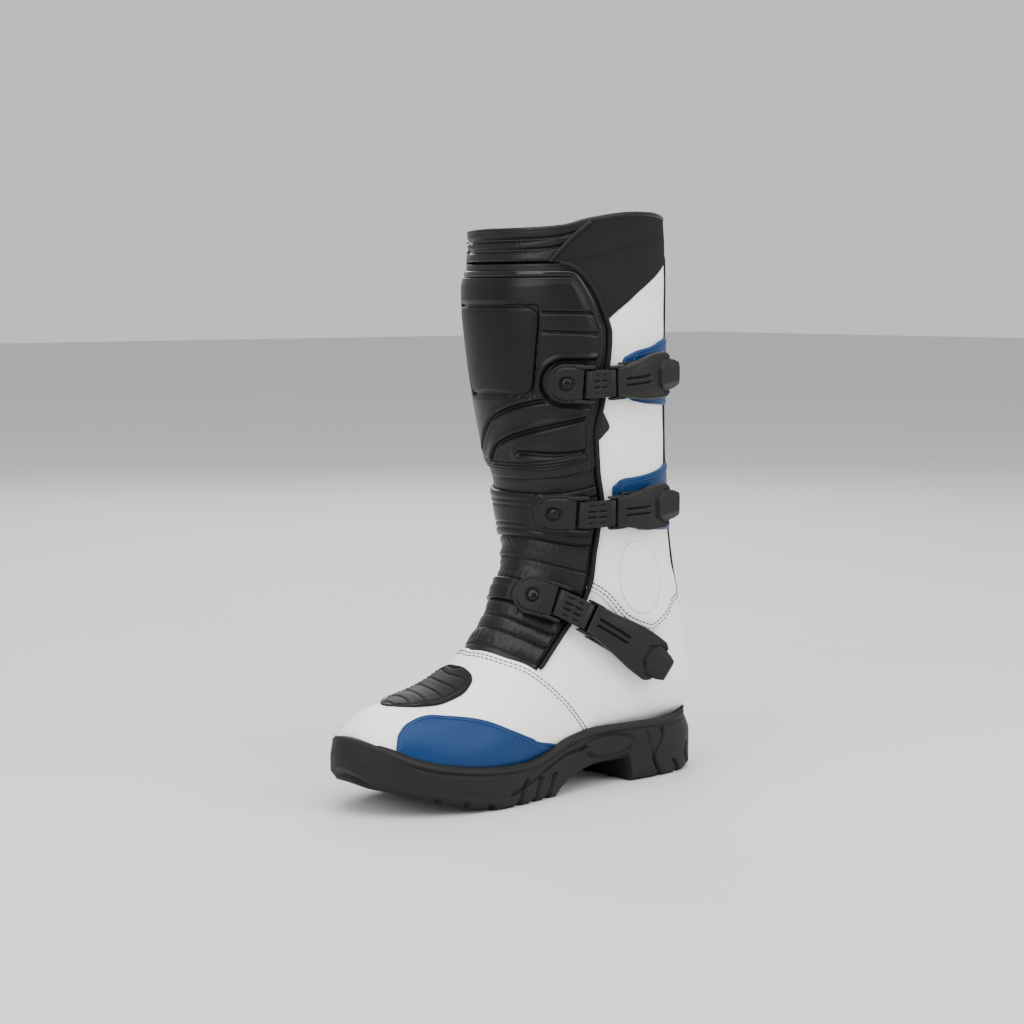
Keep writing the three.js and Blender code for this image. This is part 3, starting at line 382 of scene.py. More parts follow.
class Patch:
    """A grid of (t, phi) over an outline, finer at its edges, that knows each point's distance from them."""

    def __init__(self, low, high, front, back, step=1.6, edge=1.0):
        self.sides = (low, high, front, back)
        rough = np.linspace(0, 1, 13)
        across, up = self._lengths(*self._place(*np.meshgrid(rough, rough)))
        self.width, self.height = across[:, -1].max(), up[-1].max()
        u = self._stations(self.width, step, edge)
        v = self._stations(self.height, step, edge)
        self.t, self.phi = self._place(*np.meshgrid(u, v))
        across, up = self._lengths(self.t, self.phi)
        self.from_front, self.from_back = across, across[:, -1:] - across
        self.from_low, self.from_high = up, up[-1:] - up
        self.from_edge = np.minimum.reduce([self.from_front, self.from_back, self.from_low, self.from_high])
        self.uv = np.stack([across, up], -1)
        self.points = surface(self.t, self.phi)

    @staticmethod
    def _stations(length, step, edge):
        near = np.array([0, 0.12, 0.4, 1.0]) * min(edge, length / 4)
        middle = np.linspace(near[-1], length - near[-1], max(int(length / step), 2))
        return np.r_[near[:-1], middle, length - near[-2::-1]] / length

    def _place(self, u, v):
        low, high, front, back = self.sides
        phi = front(np.full(u.shape, 0.7)) * (1 - u) + back(np.full(u.shape, 0.7)) * u
        t = low(phi) * (1 - v) + high(phi) * v
        for _ in range(30):
            phi = (phi + front(t) * (1 - u) + back(t) * u) / 2
            t = low(phi) * (1 - v) + high(phi) * v
        return t, phi

    @staticmethod
    def _lengths(t, phi):
        points = surface(t, phi)
        across = np.linalg.norm(np.diff(points, axis=1), axis=-1)
        up = np.linalg.norm(np.diff(points, axis=0), axis=-1)
        zero_column, zero_row = np.zeros((len(points), 1)), np.zeros((1, points.shape[1]))
        return np.hstack([zero_column, across.cumsum(1)]), np.vstack([zero_row, up.cumsum(0)])

    def away(self, path):
        """Distance of each grid point from a path, in millimetres."""
        dense = surface(*resample(*path, step=0.7))
        tree = kdtree.KDTree(len(dense))
        for i, point in enumerate(dense):
            tree.insert(point, i)
        tree.balance()
        flat = self.points.reshape(-1, 3)
        return np.array([tree.find(p)[2] for p in flat]).reshape(self.t.shape)

    def rolled(self, thickness, edge):
        """Drop of the outer face toward the edges, so that a cut edge looks rounded."""
        x = np.clip(self.from_edge / edge, 0, 1)
        return -thickness * (1 - np.sqrt(1 - (1 - x) ** 2))

    def build(self, name, lift, thickness, material, detail=0.0, edge=1.0, replaces=()):
        """The patch as a closed piece: its outer face is at lift plus detail, its inner face is smooth."""
        outer = skin(self.t, self.phi, lift + detail + self.rolled(thickness, edge))
        inner = skin(self.t, self.phi, lift - thickness - 0.05)
        points, faces = closed_sheet(outer, inner)
        uv = np.vstack([self.uv.reshape(-1, 2)] * 2)
        piece(name, points, faces, material, "root", replaces, uv)


def resample(t, phi, step):
    """t and phi along a path at even distances over the skin."""
    fine = np.linspace(0, 1, 600)
    knots = np.linspace(0, 1, len(t))
    t, phi = np.interp(fine, knots, t), np.interp(fine, knots, phi)
    lengths = np.r_[0, np.linalg.norm(np.diff(surface(t, phi), axis=0), axis=-1).cumsum()]
    even = np.linspace(0, lengths[-1], max(int(round(lengths[-1] / step)), 1) + 1)
    return np.interp(even, lengths, t), np.interp(even, lengths, phi)


def beside(t, phi, distance):
    """A path moved sideways over the skin, to the right of its direction seen from outside."""
    points, n = surface(t, phi), normal(t, phi)
    ahead = np.gradient(points, axis=0)
    side = np.cross(ahead, n)
    side *= distance / np.linalg.norm(side, axis=-1, keepdims=True)
    along, around = slopes(t, phi)
    move = np.array([np.linalg.lstsq(np.stack([a, b], 1), s, rcond=None)[0]
                     for a, b, s in zip(along, around, side)])
    return t + move[:, 0], phi + move[:, 1]


def band_points(t, phi, section, lift):
    """Rings of (sideways, outward) section points, carried along a path over the skin."""
    centre, n = skin(t, phi, lift), normal(t, phi)
    ahead = np.gradient(centre, axis=0)
    ahead /= np.linalg.norm(ahead, axis=-1, keepdims=True)
    side = np.cross(ahead, n)
    side /= np.linalg.norm(side, axis=-1, keepdims=True)
    n = np.cross(side, ahead)
    return centre[:, None] + side[:, None] * section[..., 0, None] + n[:, None] * section[..., 1, None]


def tube_faces(rings, sides, start=0):
    """A closed tube's faces: its rings run clockwise seen from its end."""
    faces = grid_faces(rings, sides, start, wrap=True)
    faces.append([start + i for i in range(sides)])
    faces.append([start + (rings - 1) * sides + i for i in reversed(range(sides))])
    return faces


def round_section(count, sides, width, height, tail):
    """Elliptic rings whose first and last few shrink to round ends."""
    angle = np.linspace(0, 2 * math.pi, sides, endpoint=False)
    along = np.arange(count)
    near = np.minimum(along, along[::-1])
    swell = np.sqrt(1 - (1 - np.clip((near + 0.3) / tail, 0, 1)) ** 2)[:, None]
    return np.stack([np.cos(angle) * width * swell, np.sin(angle) * height * swell], -1)


PIPING_STEP = 1.2
PIPING_SIDES = 12
PIPING_TAIL = 3  # rings over which a cord's end is rounded


def piping(name, paths, width, height, lift, material, replaces=()):
    """Round or flattened cords laid along paths over the skin, as one piece."""
    points, faces = [], []
    for t, phi in paths:
        t, phi = resample(t, phi, PIPING_STEP)
        section = round_section(len(t), PIPING_SIDES, width, height, PIPING_TAIL)
        rings = band_points(t, phi, section, lift)
        faces += tube_faces(len(t), PIPING_SIDES, sum(map(len, points)))
        points.append(rings.reshape(-1, 3))
    points = np.vstack(points)
    piece(name, points, faces, material, "root", replaces, uv=np.zeros((len(points), 2)))


STITCH_SIDES = 6
STITCH_SHARES = np.array([0, 0.12, 0.35, 0.65, 0.88, 1])  # rings along one stitch: place,
STITCH_FATNESS = np.array([0.4, 0.9, 1, 1, 0.9, 0.4])  # share of the thread's radius,
STITCH_RISE = np.array([-1.4, -0.1, 0.25, 0.25, -0.1, -1.4])  # and height in radii


def stitches(name, paths, material, length=2.9, gap=0.6, radius=0.34):
    """Rows of thread along paths of (t, phi, lift): short cords whose ends dip into the leather."""
    angle = np.linspace(0, 2 * math.pi, STITCH_SIDES, endpoint=False)
    points, faces = [], []
    for t, phi, lift in paths:
        t, phi = resample(t, phi, length + gap)
        knots, n = skin(t, phi, lift(t, phi) if callable(lift) else lift), normal(t, phi)
        ahead = np.diff(knots, axis=0)
        n = n[:-1]
        side = np.cross(ahead, n)
        side /= np.linalg.norm(side, axis=-1, keepdims=True)
        reach = ahead * (length / (length + gap))
        rise = STITCH_RISE[:, None] * radius
        centre = knots[:-1, None] + reach[:, None] * STITCH_SHARES[:, None] + n[:, None] * rise
        ring = side[:, None, None] * np.cos(angle)[:, None] + n[:, None, None] * np.sin(angle)[:, None]
        made = centre[:, :, None] + ring * (STITCH_FATNESS * radius)[:, None, None]
        start, rings = sum(map(len, points)), len(STITCH_SHARES)
        for i in range(len(made)):
            faces += tube_faces(rings, STITCH_SIDES, start + i * rings * STITCH_SIDES)
        points.append(made.reshape(-1, 3))
    points = np.vstack(points)
    piece(name, points, faces, material, "root", uv=points[:, :2])


def ripple(points, size, seed):
    """A smooth uneven field from about -1 to 1, with features of that size in millimetres."""
    random = np.random.default_rng(seed)
    total = np.zeros(points.shape[:-1])
    for _ in range(7):
        direction = random.normal(size=3)
        direction *= 2 * math.pi / (np.linalg.norm(direction) * size * random.uniform(0.7, 1.8))
        total += np.sin(points @ direction + random.uniform(0, 2 * math.pi))
    return total / 4


def groove(distance, width, depth):
    return -depth * np.exp(-((distance / width) ** 2))


def path_up(function, low, high, count=60):
    """A path of rising t whose phi is a function of t."""
    t = np.linspace(low, high, count)
    return t, function(t)


def path_round(function, start, end, count=60):
    """A path of growing phi whose t is a function of phi."""
    phi = np.linspace(start, end, count)
    return function(phi), phi


def mirror(function, sign):
    return function if sign > 0 else (lambda t: -function(t))


def side_span(sign, front, back):
    """Front and back edges of a panel on the outer side (sign 1), or mirrored onto the inner side (-1)."""
    if sign > 0:
        return front, back
    return (lambda t: -back(t)), (lambda t: -front(t))


# ---------------------------------------------------------------- white upper
OUTER_INNER = (("outer", 1), ("inner", -1))
VAMP_LIFT = 0.9
LEATHER = 1.5
SEAM_ROWS = (3.0, 5.6)


def vamp():
    patch = Patch(fixed(0.012), vamp_seam, fixed(-LASTED), fixed(LASTED), step=2.0, edge=0.8)
    near_top = smooth(patch.t, 0.2, 0.3)
    calm = smooth(patch.from_high, 7, 26)
    lift = ripple(patch.points, 34, 1) * 0.5 * calm
    lift = lift + ripple(patch.points * [1, 0.35, 1], 11, 2) * 0.16 * near_top * calm
    for row in SEAM_ROWS:
        lift += groove(patch.from_high - row, 0.8, 0.35)
    lift += VAMP_LIFT * smooth(patch.t, 0.24, 0.33)
    patch.build("vamp_leather", 0, LEATHER, WHITE, lift, edge=0.8, replaces=["vamp"])
    rows = []
    for row in SEAM_ROWS:
        t, phi = path_round(vamp_seam, -124, 124, 160)
        t, phi = beside(t, phi, row)
        rows.append((t, phi, VAMP_LIFT + 0.05))
    stitches("vamp_stitching", rows, THREAD_BLACK)


def quarter(side, sign):
    low = lambda phi: vamp_seam(phi) - 0.012
    front, back = side_span(sign, lambda t: flap_edge(t) - 1, quarter_back)
    high = lambda phi: quarter_seam(phi) + 0.012
    patch = Patch(low, high, front, back, step=2.0, edge=0.8)
    lift = ripple(patch.points, 30, 3) * 0.45 + ripple(patch.points * [0.4, 1, 1], 12, 4) * 0.14
    patch.build(f"quarter_leather_{side}", 0, LEATHER, WHITE, lift, edge=0.8,
                replaces=[f"quarter_{side}"])


LAP_LIFT = 0.9  # the shaft panel's rise where it laps over the quarter,
LAP_FALL = (12, 30)  # and the distances from its seam between which the rise dies out


def ankle_lift(t, phi):
    """Height of the ankle's stitches, which climb with the shaft panel where it laps over the quarter."""
    above = np.linalg.norm(skin(t, phi) - skin(quarter_seam(phi), phi), axis=-1)
    return 0.1 + LAP_LIFT * (1 - smooth(above, *LAP_FALL))


def shaft_panel(side, sign):
    front, back = side_span(sign, lambda t: flap_edge(t) - 1, fixed(178.5))
    patch = Patch(quarter_seam, calf_seam, front, back, step=2.0, edge=0.8)
    calm = smooth(patch.from_low, 7, 24) * smooth(patch.from_high, 1, 14)
    lift = ripple(patch.points, 38, 5) * 0.6 * calm + LAP_LIFT * (1 - smooth(patch.from_low, *LAP_FALL))
    for row in SEAM_ROWS:
        lift += groove(patch.from_low - row, 0.8, 0.35)
    ankle = patch.away(ankle_oval(sign))
    lift += groove(ankle, 1.0, 0.3)
    patch.build(f"shaft_leather_{side}", 0, LEATHER, WHITE, lift, edge=0.8,
                replaces=[f"shaft_panel_{side}"])
    rows = []
    for row in SEAM_ROWS:
        t, phi = path_round(quarter_seam, sign * 57, sign * 176, 140)
        t, phi = beside(t, phi, -sign * row)
        rows.append((t, phi, LAP_LIFT + 0.05))
    stitches(f"quarter_stitching_{side}", rows, THREAD_BLACK)
    t, phi = ankle_oval(sign)
    stitches(f"ankle_stitching_{side}", [(t, phi, ankle_lift)], THREAD_GREY, 1.3, 1.6, 0.28)
    rear = path_up(fixed(sign * 143.0), 0.655, 0.95, 80)
    piping(f"rear_piping_{side}", [rear], 1.3, 1.0, 0.6, BLACK)


def smooth_loop(*knots):
    """A closed smooth path through (t, phi) knots."""
    knots = np.array(knots, float)
    count = len(knots)
    at = np.linspace(0, count, 12 * count, endpoint=False)
    i, f = at.astype(int), (at % 1)[:, None]
    loop = spline(*(knots[(i + k) % count] for k in (-1, 0, 1, 2)), f)
    loop = np.vstack([loop, loop[:1]])
    return loop[:, 0], loop[:, 1]


def smooth_path(*knots):
    """An open smooth path through (t, phi) knots."""
    knots = np.array(knots, float)
    knots = np.vstack([2 * knots[0] - knots[1], knots, 2 * knots[-1] - knots[-2]])
    at = np.linspace(0, len(knots) - 3 - 1e-6, 14 * len(knots))
    i, f = at.astype(int), (at % 1)[:, None]
    made = spline(*(knots[i + k] for k in range(4)), f)
    return made[:, 0], made[:, 1]


def ankle_oval(sign):
    """The oval stitched over the ankle's stiffener."""
    t, phi = smooth_loop((0.672, 88), (0.64, 80), (0.6, 76.5), (0.586, 78.5), (0.581, 84.5), (0.593, 92),
                         (0.621, 103), (0.657, 109), (0.679, 101))
    return t, sign * phi


# ---------------------------------------------------------------- blue leather
BLUE_LIFT = 2.3
BLUE_LEATHER = 2.2
BLUE_SEAM = 3.0
INNER_NARROWER = 16  # degrees by which the inner toe patch stops short of the outer one's upper edge
toe_patch_front = curve((0.1, 84), (0.119, 54), (0.15, 41), (0.184, 37), (0.219, 44), (0.26, 56), (0.303, 75),
                        (0.335, 91), (0.352, 101), (0.368, 114))


def toe_patch_edge(sign):
    """The patch's upper edge; the inner side's patch is narrower."""
    return toe_patch_front if sign > 0 else (lambda t: toe_patch_front(t) + INNER_NARROWER)


def toe_patch(side, sign):
    edge = toe_patch_edge(sign)
    front, back = side_span(sign, edge, fixed(124))
    start, end = (0.1, 0.362) if sign > 0 else (0.125, 0.35)
    patch = Patch(fixed(start), fixed(end), front, back, step=1.6, edge=0.8)
    from_front = patch.from_front if sign > 0 else patch.from_back
    lift = ripple(patch.points, 26, 6) * 0.3 + groove(from_front - BLUE_SEAM, 0.8, 0.4)
    patch.build(f"toe_side_leather_{side}", BLUE_LIFT, BLUE_LEATHER, BLUE, lift, edge=0.9,
                replaces=[f"toe_patch_{side}"])
    t, phi = path_up(mirror(edge, sign), start + 0.006, 0.345, 120)
    t, phi = beside(t, phi, sign * BLUE_SEAM)
    stitches(f"toe_side_stitching_{side}", [(t, phi, BLUE_LIFT + 0.1)], THREAD_BLUE)


NOSE_ROUND = 7.5  # degrees over which a strap patch's front end is rounded


def strap_patch(name, low, high, edge):
    corner = edge + NOSE_ROUND
    middle, half = (low(corner) + high(corner)) / 2, (high(corner) - low(corner)) / 2
    off = lambda t: np.abs(np.clip((t - middle) / half, -1, 1))
    nose = lambda t: edge + NOSE_ROUND * (1 - (1 - off(t) ** 2.6) ** 0.5)
    patch = Patch(low, high, nose, fixed(150), step=1.5, edge=0.8)
    near = np.minimum(np.minimum(patch.from_low, patch.from_high), patch.from_front)
    lift = ripple(patch.points, 20, 7) * 0.2 + groove(near - BLUE_SEAM, 0.8, 0.35)
    patch.build(f"{name}_leather", BLUE_LIFT, BLUE_LEATHER, BLUE, lift, edge=0.9,
                replaces=[name])
    low_t, low_phi = beside(*path_round(low, edge + 6.5, 147), -BLUE_SEAM)
    high_t, high_phi = beside(*path_round(high, edge + 6.5, 147), BLUE_SEAM)
    nose_t = np.linspace(low_t[0], high_t[0], 24)
    bulge = np.sin(np.linspace(0, math.pi, 24)) * 2.2
    nose_phi = np.linspace(low_phi[0], high_phi[0], 24) - bulge
    loop = np.r_[low_t[::-1], nose_t, high_t], np.r_[low_phi[::-1], nose_phi, high_phi]
    stitches(f"{name}_stitching", [(*loop, BLUE_LIFT + 0.1)], THREAD_BLUE)


# each patch's lower and upper edge, t against phi, and the phi of its front end
STRAP_PATCHES = {
    "strap_patch_top": (
        curve((80, 0.812), (99, 0.811), (124, 0.813), (150, 0.815)),
        curve((80, 0.843), (88, 0.847), (96, 0.853), (111, 0.858), (124, 0.863), (150, 0.868)), 86),
    "strap_patch_mid": (
        curve((74, 0.679), (81, 0.684), (95, 0.694), (127, 0.711), (150, 0.72)),
        curve((74, 0.715), (78, 0.725), (83, 0.735), (97, 0.747), (127, 0.765), (150, 0.775)), 77),
}


# ---------------------------------------------------------------- padded pieces, swollen by cloth simulation
SIM_FRAMES = 20
SIM_PRESSURE = 4.0
CALM_ALONG = 160  # smoothing steps along a rib and across it
CALM_ACROSS = 2
CALM_END = 3  # columns at each end over which a rib rises from its seam
CREASES_KEPT = 0.01
SIM_SETTINGS = {
    "vertex_group_mass": "seams", "quality": 6, "mass": 0.02, "tension_stiffness": 12,
    "compression_stiffness": 12, "bending_stiffness": 0.05, "use_pressure": True,
    "uniform_pressure_force": SIM_PRESSURE,
}


def calmed(move):
    """A simulated move with most of its creases drawn out along the seams and a few left in."""
    middle = move[:, CALM_END:-CALM_END]
    for _ in range(CALM_ALONG):
        wide = np.concatenate([middle[:, :1], middle, middle[:, -1:]], axis=1)
        middle = (wide[:, :-2] + 2 * wide[:, 1:-1] + wide[:, 2:]) / 4
    for _ in range(CALM_ACROSS):
        middle[1:-1] = (middle[:-2] + 2 * middle[1:-1] + middle[2:]) / 4
    calm = np.zeros_like(move)
    calm[:, CALM_END:-CALM_END] = middle
    for column in range(1, CALM_END):
        share = math.sin(column / CALM_END * math.pi / 2)
        calm[:, column] = middle[:, 0] * share
        calm[:, -1 - column] = middle[:, -1] * share
    return calm + (move - calm) * CREASES_KEPT


def swell(name, patches, thickness, most):
    """How far the outer face of each patch moves when air swells it, pinned at its seams, in millimetres."""
    points, faces, pinned = [], [], []
    for patch in patches:
        made, quads = closed_sheet(skin(patch.t, patch.phi), skin(patch.t, patch.phi, -thickness))
        start = sum(map(len, points))
        faces += [[start + i for i in quad] for quad in quads]
        held = np.r_[(patch.from_edge.ravel() < 0.5), np.ones(patch.t.size, bool)]
        pinned += (start + np.flatnonzero(held)).tolist()
        points.append(made)
    rest = np.vstack(points)
    mesh = bpy.data.meshes.new(name + "_sim")
    mesh.from_pydata((rest * MM).tolist(), [], faces)
    pad = bpy.data.objects.new(name + "_sim", mesh)
    bpy.context.scene.collection.objects.link(pad)
    group = pad.vertex_groups.new(name="seams")
    group.add(pinned, 1.0, "REPLACE")
    cloth = pad.modifiers.new("Cloth", "CLOTH")
    for setting, value in SIM_SETTINGS.items():
        setattr(cloth.settings, setting, value)
    cloth.settings.effector_weights.gravity = 0
    scene = bpy.context.scene
    for step in range(1, SIM_FRAMES + 1):
        scene.frame_set(step)
    solved = pad.evaluated_get(bpy.context.evaluated_depsgraph_get())
    ends = np.zeros(3 * len(rest))
    solved.data.vertices.foreach_get("co", ends)
    moved = ends.reshape(-1, 3) / MM - rest
    bpy.data.objects.remove(pad)
    scene.frame_set(1)
    result, start = [], 0
    for patch in patches:
        move = calmed(moved[start:start + patch.t.size].reshape(*patch.t.shape, 3))
        far = np.linalg.norm(move, axis=-1, keepdims=True)
        print(name, "swelled by", round(float(far.max()), 2), "mm")
        result.append(move * (most / max(far.max(), 1e-6)))
        start += 2 * patch.t.size
    return result


def finer(move, coarse, fine):
    """A field on a coarse patch, read at a finer patch of the same outline."""
    def shares(patch):
        up = patch.from_low[:, patch.t.shape[1] // 2]
        across = patch.from_front[patch.t.shape[0] // 2]
        return up / up[-1], across / across[-1]

    (rows, columns), (old_rows, old_columns) = shares(fine), shares(coarse)
    found = []
    for part in np.moveaxis(move, -1, 0):
        tall = np.stack([np.interp(rows, old_rows, line) for line in part.T])
        found.append([np.interp(columns, old_columns, line) for line in tall.T])
    return np.moveaxis(np.array(found), 0, -1)


def pad(name, patch, coarse, move, base, thickness, material, slot, detail, replaces=(), edge=1.5):
    """A padded piece: the patch, moved as its cloth did, with finer surface detail."""
    lift = base + detail + patch.rolled(thickness * 0.6, edge)
    outer = skin(patch.t, patch.phi, lift) + finer(move, coarse, patch)
    inner = skin(patch.t, patch.phi, base - thickness)
    points, faces = closed_sheet(outer, inner)
    uv = np.vstack([patch.uv.reshape(-1, 2)] * 2)
    made = piece(name, points, faces, material, "root", replaces, uv)


# ---------------------------------------------------------------- shaft top
COLLAR_LOW = 0.946
QUILT_LINES = (0.34, 0.66)  # shares of the collar's height at which it is sewn through


def calf_panel():
    front = lambda t: np.where(t > COLLAR_LOW, collar_seam(t), flap_edge(t)) - 1
    seam = lambda phi: calf_seam(np.where(phi > 180, 360 - phi, phi))
    patch = Patch(seam, rim, front, lambda t: 360 - front(t), step=2.0, edge=0.8)
    lift = 0.9 + ripple(patch.points, 34, 8) * 0.35 * smooth(patch.from_edge, 3, 16)
    patch.build("calf_textile", 0, 1.8, TEXTILE, lift, edge=0.9, replaces=["calf_panel"])


def collar():
    """The quilted collar: one pad, sewn through along two lines and edged with piping."""
    span = (fixed(COLLAR_LOW), rim, mirror(collar_seam, -1), collar_seam)
    coarse = Patch(*span, step=3.0, edge=1.0)
    fine = Patch(*span, step=1.3, edge=0.8)
    move = swell("collar", [coarse], 2.5, 1.3)[0]
    across = fine.from_low / fine.from_low[-1:]
    detail = np.zeros(fine.t.shape)
    pucker = np.sin(fine.from_front * 2 * math.pi / 4.2) * 0.08
    for line in QUILT_LINES:
        gap = np.abs(across - line) * fine.from_low[-1:]
        detail += groove(gap, 1.7, 2.1) + pucker * smooth(gap, 0.6, 2.5) * (1 - smooth(gap, 3, 6))
    pad("collar_quilt", fine, coarse, move, 1.2, 3.2, BLACK, "black_leather", detail, ["collar_pad"], 3.0)
    rows = []
    for line in QUILT_LINES:
        middle = lambda phi: COLLAR_LOW + (rim(phi) - COLLAR_LOW) * line
        t, phi = path_round(middle, -60, 60, 160)
        keep = np.abs(phi) < collar_seam(t) - 1
        rows.append((t[keep], phi[keep], 1.3))
    stitches("collar_stitching", rows, THREAD_BLACK, radius=0.32)
    edges = []
    for sign, top in ((1, 0.9935), (-1, 0.98)):
        edges.append(path_up(mirror(collar_seam, sign), COLLAR_LOW, top, 60))
    piping("collar_side_piping", edges, 1.5, 1.2, 1.0, BLACK)
    just_below = lambda phi: rim(phi) - 0.001
    round_rim = path_round(just_below, -180, 180, 400)
    piping("rim_piping", [round_rim], 2.0, 2.1, -0.6, BLACK)


def liner():
    """The sleeve inside: padded lining that rolls over at the rim and closes under the foot."""
    rows, columns = 90, 110
    phi = np.linspace(-180, 180, columns, endpoint=False)
    top = rim(phi) - 0.001
    t = np.linspace(0, 1, rows)[:, None] * (top - 0.1) + 0.1
    phi = np.broadcast_to(phi, t.shape)
    points = surface(t, phi)
    swell_in = ripple(points, 26, 9) * 0.5
    outer = skin(t, phi, -6.0)
    inner = skin(t, phi, -8.8 + swell_in)
    fold = smooth(t, 0.965, 1.0)[..., None]
    outer = outer * (1 - fold) + skin(t, phi, -1.8) * fold
    inner = inner * (1 - fold) + skin(t, phi, -5.2 + swell_in) * fold
    count = rows * columns
    faces = grid_faces(rows, columns, 0, wrap=True)
    faces += [face[::-1] for face in grid_faces(rows, columns, count, wrap=True)]
    last = (rows - 1) * columns
    for j in range(columns):
        k = (j + 1) % columns
        faces.append([k, j, count + j, count + k])
        faces.append([last + j, last + k, count + last + k, count + last + j])
    uv = np.stack([phi * 1.1, t * 420], -1).reshape(-1, 2)
    points = np.vstack([outer.reshape(-1, 3), inner.reshape(-1, 3)])
    piece("lining_sleeve", points, faces, LINING, "root", ["liner"], np.vstack([uv, uv]))


def back_stay():
    patch = Patch(fixed(0.648), fixed(0.948), fixed(176.2), fixed(183.8), step=1.2, edge=0.8)
    crown = -0.5 * (np.abs(patch.phi - 180) / 3.8) ** 2
    patch.build("back_stay_leather", 1.3, 1.6, BLACK, crown, edge=0.7,
                replaces=["back_stay"])
    rows = [(*path_up(fixed(phi), 0.653, 0.944, 200), 1.15) for phi in (177.4, 182.6)]
    stitches("back_stay_stitching", rows, THREAD_BLACK, radius=0.3)


def hidden_layers():
    gusset = Patch(fixed(0.375), fixed(0.93), fixed(-50), fixed(50), step=4.0)
    gusset.build("gusset_textile", -3.6, 1.0, TEXTILE, replaces=["tongue_gusset"])
    insole = Patch(fixed(0.14), fixed(0.5), fixed(150), fixed(210), step=3.0)
    insole.build("insole_foam", -13.5, -3.0, LINING, ripple(insole.points, 22, 10) * -0.3,
                 replaces=["insole"])


# ---------------------------------------------------------------- front flap
FLAP_EDGE = 2.4
BAND_ROWS = {1: "mid", 4: "low"}  # spaces between rib seams that hold a strap band instead of a rib


def flap_span(margin):
    return (lambda t: margin - flap_edge(t)), (lambda t: flap_edge(t) - margin)


def seam_curve(index, shift=0.0):
    return lambda phi: rib_seam(RIB_SEAMS[index] + shift, phi)


def bellows():
    front, back = flap_span(0.2)
    base = Patch(lambda phi: vamp_seam(phi) - 0.004, seam_curve(0), front, back, step=3.0, edge=0.8)
    base.build("bellows_leather", 0.2, 1.8, BLACK, replaces=["bellows_panel"])
    ribs = [i for i in range(len(RIB_SEAMS) - 1) if i not in BAND_ROWS]
    front, back = flap_span(FLAP_EDGE + 0.4)
    spans = [(seam_curve(i + 1), seam_curve(i), front, back) for i in ribs]
    coarse = [Patch(*span, step=2.6, edge=1.2) for span in spans]
    fine = [Patch(*span, step=1.1, edge=0.8) for span in spans]
    moves = swell("bellows", coarse, 2.0, 2.1)
    rows = []
    for number, (index, rough, patch, move) in enumerate(zip(ribs, coarse, fine, moves), 1):
        gap = np.minimum(patch.from_low, patch.from_high)
        pucker = np.sin(patch.from_front * 2 * math.pi / 3.9 + ripple(patch.points, 15, 11)) * 0.14
        pucker *= smooth(np.abs(patch.phi), 8, 30)
        detail = pucker * smooth(gap, 0.5, 2) * (1 - smooth(gap, 3, 5.5))
        detail += ripple(patch.points, 17, 12 + index) * 0.12
        pad(f"bellows_rib_{number}", patch, rough, move, 0.6, 1.4, BLACK, "black_leather", detail)
        t, phi = path_round(seam_curve(index + 1), -52, 52, 160)
        keep = np.abs(phi) < flap_edge(t) - FLAP_EDGE - 2
        rows.append((t[keep], phi[keep], 0.7))
    stitches("bellows_stitching", rows, THREAD_BLACK, radius=0.32)


BAND_LINES = (0.18, 0.3, 0.7, 0.82)  # shares of a strap band's height at which it is grooved


def strap_band(index, name):
    """A moulded band under a buckle: fine grooves along it and a raised surround where the bridge sits."""
    front, back = flap_span(FLAP_EDGE + 0.6)
    patch = Patch(seam_curve(index + 1, 0.001), seam_curve(index, -0.001), front, back, step=1.1, edge=0.8)
    share = patch.from_low / patch.from_low[-1:]
    lines = sum(groove((share - line) * patch.height, 0.9, 0.9) for line in BAND_LINES)
    t0, phi0 = BUCKLE_PATHS[name][0]
    centre = surface(np.array([t0]), np.array([float(phi0)]))[0]
    away = np.linalg.norm(patch.points - centre, axis=-1)
    raised = 1 - smooth(away, 15.5, 17.5)
    lift = lines * (1 - raised) + 1.2 * raised + groove(away - 14.5, 0.9, 0.8)
    lift += 0.5 * smooth(share, 0.0, 0.12) * smooth(1 - share, 0.0, 0.12)
    patch.build(f"strap_band_{name}_moulding", 3.2, 3.2, PLATE, lift, edge=1.2,
                replaces=[f"strap_band_{name}"])


BORDER_ROWS = (3.6, 6.4)
FLAP_HIGH = 0.9435


def flap_border():
    front, back = flap_span(0.2)
    patch = Patch(seam_curve(0, -0.003), fixed(FLAP_HIGH), front, back, step=2.0, edge=0.8)
    near = np.minimum(np.minimum(patch.from_front, patch.from_back), patch.from_high)
    lift = ripple(patch.points, 16, 30) * 0.15
    for row in BORDER_ROWS:
        lift += groove(near - row, 0.8, 0.5)
    patch.build("flap_leather", 1.1, 2.2, BLACK, lift, edge=1.0, replaces=["flap_base"])
    rows = []
    for sign in (1, -1):
        for row in BORDER_ROWS:
            t, phi = path_up(mirror(back, sign), 0.735, 0.94, 160)
            t, phi = beside(t, phi, -sign * row)
            keep = t < FLAP_HIGH - row * T_PER_MM
            rows.append((t[keep], phi[keep], 1.0))
    for row in BORDER_ROWS:
        t, phi = path_round(fixed(FLAP_HIGH), -50, 50, 120)
        t, phi = beside(t, phi, row)
        keep = np.abs(phi) < flap_edge(t) - FLAP_EDGE - 2
        rows.append((t[keep], phi[keep], 1.0))
    stitches("flap_stitching", rows, THREAD_BLACK, radius=0.34)


PLATE_HIGH = 0.9265
INSERT_LOW, INSERT_HIGH = 0.802, 0.891
insert_edge = curve((0.8, 27), (0.82, 30), (0.85, 33), (0.88, 35.5), (0.9, 35))


def plate_low(phi):
    return rib_seam(PLATE_LOW, phi) + 0.004


